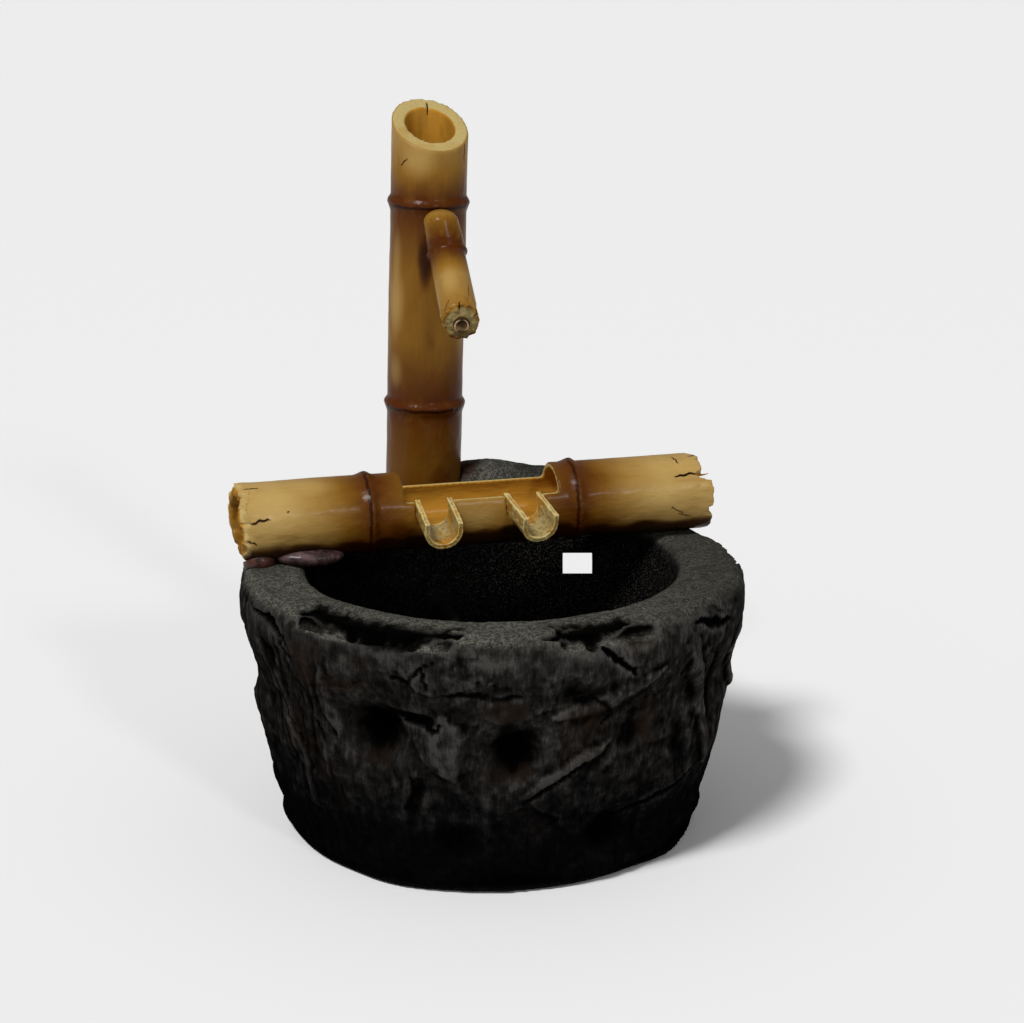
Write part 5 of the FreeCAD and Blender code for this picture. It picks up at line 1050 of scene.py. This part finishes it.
class FOUNTAIN_OT_trough(bpy.types.Operator):
    """Cast the bamboo trough"""
    bl_idname = "fountain.trough"
    bl_label = "Bamboo trough"

    def execute(self, context):
        look = context.scene.fountain_bamboo
        piece = copy_of("trough_culm", "bamboo_trough")
        remesh(piece, look.voxel * 1.08)
        local, along, reach, around = culm_places(piece, TROUGH_FRAME)
        outside = ease(29.5, 31.5, reach)
        ends = ease(150, 190, np.abs(along))
        spread(local, outside * (swell(local, look, 3.1) * (1 + ends) - 0.5))
        spread(local, (1 - outside) * ends * (-1.4 + 1.6 * noise_at(local, 90, 2, (6, 1, 2))))
        roughen_rings(local, along, outside, TROUGH_RINGS)
        depth = look.ragged / MM
        far = ease(-150, -110, around) * fade(-60, -20, around)
        from_left, from_right = (np.abs(along - end / MM) for end in (TROUGH_LEFT, TROUGH_RIGHT))
        back = break_end(along, reach, around, TROUGH_RADIUS, TROUGH_LEFT / MM, 1, 2.0, depth)
        back *= 1 - 0.7 * far
        low = (1 - np.cos(np.radians(around))) / 2
        back += fade(2, 26, from_left) * 2.5 * low ** 2
        splinters = fade(2, 12, from_left) * ease(27, 33, reach)
        back += splinters * (4.0 + 5.0 * noise_at(local, 110, 2)) * (1 - far)
        back += break_end(along, reach, around, TROUGH_RADIUS, TROUGH_RIGHT / MM, -1, 5.0, depth * 0.55)
        for turn, half_width, cut in ((48, 5, 9.0), (112, 3.5, 7.0), (20, 3, 3.0)):
            side = np.abs(np.radians(turn_between(around, turn)) * TROUGH_RADIUS) / half_width
            back -= cut * fade(0.1, 1.0, side) * fade(2, 22, from_right)
        back -= 7 * fade(40, 60, np.abs(around + 50)) * fade(2, 22, from_right)
        local[:, 2] += back * MM
        local, along, reach, around = split_culm(piece, local, TROUGH_FRAME, TROUGH_SLITS)
        # Painted shade along the trough's underside, reaching a little higher in the middle
        middle = fade(60, 120, np.abs(along + 10))
        under = ease(104, 136, np.abs(around) + 8 * middle + 9 * noise_at(local, 40, 2))
        stain_and_shade = culm_weight(along, around, TROUGH_RADIUS, TROUGH_STAINS_AND_SHADE)
        stain_and_shade = np.maximum(stain_and_shade, under) * ease(28, 31, reach)
        # Painted shade inside the bore near both ends
        stain_and_shade += fade(26, 28.5, reach) * 0.30 * (along > 70) + fade(27, 30, reach) * 0.55 * (along < -105)
        keep(piece, "stain_and_shade", stain_and_shade)
        keep(piece, "painted_highlight", culm_weight(along, around, TROUGH_RADIUS, TROUGH_PAINTED_HIGHLIGHTS) * ease(28, 31, reach))
        tones = [(-212, 1.75), (-180, 1.75), (-148, 1.35), (-124, 0.7), (-106, 0.12), (-94, 0.08),
                 (-82, 0.35), (-60, 0.80), (-15, 1.28), (28, 1.0), (52, 0.38), (70, 0.08), (84, 0.14),
                 (98, 0.6), (122, 1.35), (150, 1.65), (195, 1.65)]
        material = bamboo_material("bamboo_trough_paint", TROUGH_FRAME, (-214, 197), tones, TROUGH_RADIUS,
                                   TROUGH_RINGS, 27.6, 3.1)
        settle(piece, "bamboo_resin", material, "trough_culm")
        return {"FINISHED"}


class FOUNTAIN_OT_lips(bpy.types.Operator):
    """Cast the two pouring lips"""
    bl_idname = "fountain.lips"
    bl_label = "Pouring lips"

    def execute(self, context):
        for side in ("left", "right"):
            piece = copy_of("trough_lip_" + side, "pouring_lip_" + side)
            remesh(piece, 0.65 * MM, 3)
            points, normals = read_points(piece), read_normals(piece)
            lumps = noise_at(points, 150, 3, (5, 2, 8)) - 0.6
            points += normals * (lumps * 0.45 * MM)[:, None]
            write_points(piece, points)
            proud = ((points - near_points(piece, points, 6)) * normals).sum(1) / MM
            keep(piece, "edge", 0.5 + proud * 3.0)
            settle(piece, "bamboo_resin", lip_material(side), "trough_lip_" + side)
        return {"FINISHED"}


def lip_material(side):
    look = bpy.context.scene.fountain_bamboo
    shade = Shader("lip_paint_" + side)
    spot = shade.object_place()
    cloud = shade.noise(spot, 55, 4, 0.6)
    fine = shade.noise(spot, 800, 3, 0.6)
    colour = shade.mix(shade.band(cloud, 0.38, 0.66), tint(look.cut, 0.72), tint(look.honey, 1.5))
    edge = shade.band(shade.attribute("edge"), 0.56, 0.75)
    colour = shade.wash(colour, edge, 0.85, tint(look.cut, 1.3))
    # Painted shade in the lip's hollows and creases
    colour = shade.glaze(colour, shade.attribute("edge"), 0.40, 0.15, 0.6, tint(look.honey, 0.6))
    colour = shade.glaze(colour, fine, 0.56, 0.72, 0.25, tint(look.burnt, 2.6))
    normal = shade.bump(cloud, 1.2 * MM, 0.4, shade.bump(fine, 0.25 * MM, 0.5))
    return shade.finish(colour, 0.34, normal, Specular_IOR_Level=0.15, Coat_Weight=0.3, Coat_Roughness=0.1)


class FOUNTAIN_OT_pebbles(bpy.types.Operator):
    """Pebbles under the trough's left end"""
    bl_idname = "fountain.pebbles"
    bl_label = "Pebbles"

    def execute(self, context):
        for node in ("pebble_oval", "pebble_small"):
            piece = copy_of(node, node + "_stone")
            remesh(piece, 0.7 * MM)
            points, normals = read_points(piece), read_normals(piece)
            if node == "pebble_small":
                low = fade(0.214, 0.228, points[:, 2])
                points[:, 2] -= low * 0.0045
                points[:, 1] -= low * 0.0035
            points += normals * (noise_at(points, 70, 3, (2, 6, 1)) * 0.5 * MM)[:, None]
            write_points(piece, points)
            settle(piece, "pebble_resin", pebble_material(node), node)
        return {"FINISHED"}


def pebble_material(node):
    shade = Shader(node + "_wash")
    spot = shade.object_place()
    cloud = shade.noise(spot, 60, 5, 0.6, 0.8)
    specks = shade.noise(spot, 500, 3, 0.7)
    small = node == "pebble_small"
    dark = (0.016, 0.0065, 0.0050) if small else (0.017, 0.0085, 0.0085)
    light = (0.060, 0.021, 0.0125) if small else (0.090, 0.052, 0.050)
    colour = shade.mix(shade.band(cloud, 0.38, 0.64), dark, light)
    colour = shade.glaze(colour, specks, 0.55, 0.75, 0.5, tint(light, 1.7))
    # Painted shade: darker toward the pebble's bottom, where it sits on the rim
    low = shade.band(shade.split(spot)[2], 0.232, 0.219, 0.0, 0.75)
    colour = shade.mix(low, colour, tint(dark, 0.3))
    normal = shade.bump(specks, 0.3 * MM, 0.6, shade.bump(cloud, 1.5 * MM, 0.5))
    return shade.finish(colour, 0.38, normal, Specular_IOR_Level=0.15, Coat_Weight=0.2, Coat_Roughness=0.2)


class FOUNTAIN_OT_water_hose(bpy.types.Operator):
    """Colour the water hose"""
    bl_idname = "fountain.water_hose"
    bl_label = "Water hose"

    def execute(self, context):
        shade = Shader("hose_vinyl")
        spot = shade.object_place(BRANCH_FRAME)
        across, upward, along = shade.split(spot)
        reach = shade.reach(across, upward)
        cloud = shade.noise(spot, 160, 3, 0.6)
        mouth = shade.times(shade.band(along, 0.075, 0.083), shade.band(reach, 0.012, 0.010))
        ring = shade.mix(shade.band(reach, 0.0050, 0.0046), (0.46, 0.30, 0.15), (0.012, 0.008, 0.005))
        smoky = shade.mix(shade.band(cloud, 0.4, 0.65), (0.0035, 0.0036, 0.0036), (0.008, 0.008, 0.0075))
        colour = shade.mix(mouth, smoky, shade.glaze(ring, cloud, 0.5, 0.7, 0.5, (0.10, 0.06, 0.03)))
        normal = shade.bump(cloud, 0.3 * MM, 0.4)
        dress(shade.finish(colour, 0.35, normal, Specular_IOR_Level=0.2), "water_hose")
        return {"FINISHED"}


class FOUNTAIN_OT_pump(bpy.types.Operator):
    """Colour the pump, its feet and its inner works"""
    bl_idname = "fountain.pump"
    bl_label = "Pump"

    def execute(self, context):
        dress(moulded_material("moulded_black", (0.010, 0.010, 0.0105), 0.45), "pump_housing",
              "volute_cover", "flow_dial", "strainer_cover", "outlet_adapter", "impeller", "motor_seal")
        dress(moulded_material("rubber_black", (0.0022, 0.0022, 0.0022), 0.8, specular=0.05), "hose_grommet",
              "cord_gland", "bush_rear", "bush_front", "suction_cups")
        dress(moulded_material("core_steel", (0.5, 0.5, 0.52), 0.35, 1.0), "stator_core")
        dress(moulded_material("winding_copper", (0.45, 0.17, 0.07), 0.4, 1.0), "coil_left", "coil_right")
        dress(moulded_material("ferrite_grey", (0.03, 0.03, 0.033), 0.6), "rotor_magnet")
        dress(moulded_material("shaft_white", (0.8, 0.79, 0.75), 0.2), "rotor_shaft")
        return {"FINISHED"}


class FOUNTAIN_OT_underside(bpy.types.Operator):
    """Colour the base panel, its screws and the ring it stands on"""
    bl_idname = "fountain.underside"
    bl_label = "Underside"

    def execute(self, context):
        dress(moulded_material("panel_black", (0.012, 0.012, 0.012), 0.6), "base_panel")
        dress(moulded_material("ring_rubber", (0.010, 0.010, 0.010), 0.75), "base_ring")
        dress(moulded_material("screw_steel", (0.5, 0.5, 0.52), 0.35, 1.0), "panel_screws")
        return {"FINISHED"}


def dress(material, *nodes):
    """Give CAD nodes their material."""
    for node in nodes:
        mesh = frame["nodes"][node].data
        mesh.materials.clear()
        mesh.materials.append(material)


def moulded_material(name, colour, roughness, metal=0.0, specular=0.4):
    shade = Shader(name)
    spot = shade.object_place()
    grain = shade.noise(spot, 1400, 3, 0.6)
    cloud = shade.noise(spot, 60, 3, 0.6)
    mixed = shade.mix(shade.band(cloud, 0.4, 0.65), colour, tint(colour, 1.5))
    normal = shade.bump(grain, 0.15 * MM, 0.6)
    rough = shade.band(cloud, 0.35, 0.65, roughness * 0.85, min(1.0, roughness * 1.2))
    return shade.finish(mixed, rough, normal, Metallic=metal, Specular_IOR_Level=specular)


class FOUNTAIN_OT_stage(bpy.types.Operator):
    """Floor, light and camera"""
    bl_idname = "fountain.stage"
    bl_label = "Stage"

    def execute(self, context):
        look = context.scene.fountain_stage
        deselect()
        bpy.ops.mesh.primitive_plane_add(size=60, location=(0, 0, 0))
        floor = context.object
        floor.name = "floor"
        shade = Shader("floor_paper")
        floor.data.materials.append(shade.finish(tuple(look.floor), 0.9))

        target = Vector((0.01685, 0, 0.26575))
        back = Vector((0, -math.cos(look.pitch), math.sin(look.pitch)))
        camera_data = bpy.data.cameras.new("photo_view")
        camera_data.lens = look.lens
        camera_data.sensor_width = 36
        camera_data.clip_end = 100
        camera = new_object("photo_view", camera_data)
        camera.location = target + back * look.distance
        camera.rotation_euler = (math.pi / 2 - look.pitch, 0, 0)
        context.scene.camera = camera

        world = bpy.data.worlds.new("studio")
        context.scene.world = world
        world.use_nodes = True
        sky = world.node_tree.nodes["Background"].inputs
        sky["Color"].default_value = (1, 1, 1, 1)
        sky["Strength"].default_value = 0.32
        lights = (("key", look.key, 14, (36, 0, -34)), ("fill", look.fill, 7, (64, 0, 29)))
        for name, strength, spread_angle, turn in lights:
            sun = bpy.data.lights.new(name, "SUN")
            sun.energy = strength
            sun.angle = math.radians(spread_angle)
            lamp = new_object(name, sun)
            lamp.rotation_euler = [math.radians(value) for value in turn]
        context.scene.view_settings.view_transform = "Standard"
        context.scene.view_settings.look = "None"
        return {"FINISHED"}


STEPS = (FOUNTAIN_OT_basin, FOUNTAIN_OT_post, FOUNTAIN_OT_branch, FOUNTAIN_OT_trough, FOUNTAIN_OT_lips,
         FOUNTAIN_OT_pebbles, FOUNTAIN_OT_water_hose, FOUNTAIN_OT_pump, FOUNTAIN_OT_underside,
         FOUNTAIN_OT_stage)


class FOUNTAIN_PT_panel(bpy.types.Panel):
    """The fountain's settings and steps"""
    bl_idname = "FOUNTAIN_PT_panel"
    bl_label = "Cascade fountain"
    bl_space_type = "VIEW_3D"
    bl_region_type = "UI"
    bl_category = "Fountain"

    def draw(self, context):
        for step in STEPS:
            self.layout.operator(step.bl_idname)
        for group in (getattr(context.scene, name) for name in SETTINGS):
            column = self.layout.column()
            for key in group.__annotations__:
                column.prop(group, key)


SETTINGS = {"fountain_bamboo": FountainBamboo, "fountain_rock": FountainRock,
            "fountain_stage": FountainStage}
CLASSES = (*SETTINGS.values(), *STEPS, FOUNTAIN_PT_panel)


def register():
    for item in CLASSES:
        bpy.utils.register_class(item)
    for name, group in SETTINGS.items():
        setattr(bpy.types.Scene, name, bpy.props.PointerProperty(type=group))


def unregister():
    for name in SETTINGS:
        delattr(bpy.types.Scene, name)
    for item in reversed(CLASSES):
        bpy.utils.unregister_class(item)


def main():
    register()
    bpy.ops.fountain.basin()
    bpy.ops.fountain.post()
    bpy.ops.fountain.branch()
    bpy.ops.fountain.trough()
    bpy.ops.fountain.lips()
    bpy.ops.fountain.pebbles()
    bpy.ops.fountain.water_hose()
    bpy.ops.fountain.pump()
    bpy.ops.fountain.underside()
    bpy.ops.fountain.stage()


if __name__ == "__main__":
    main()
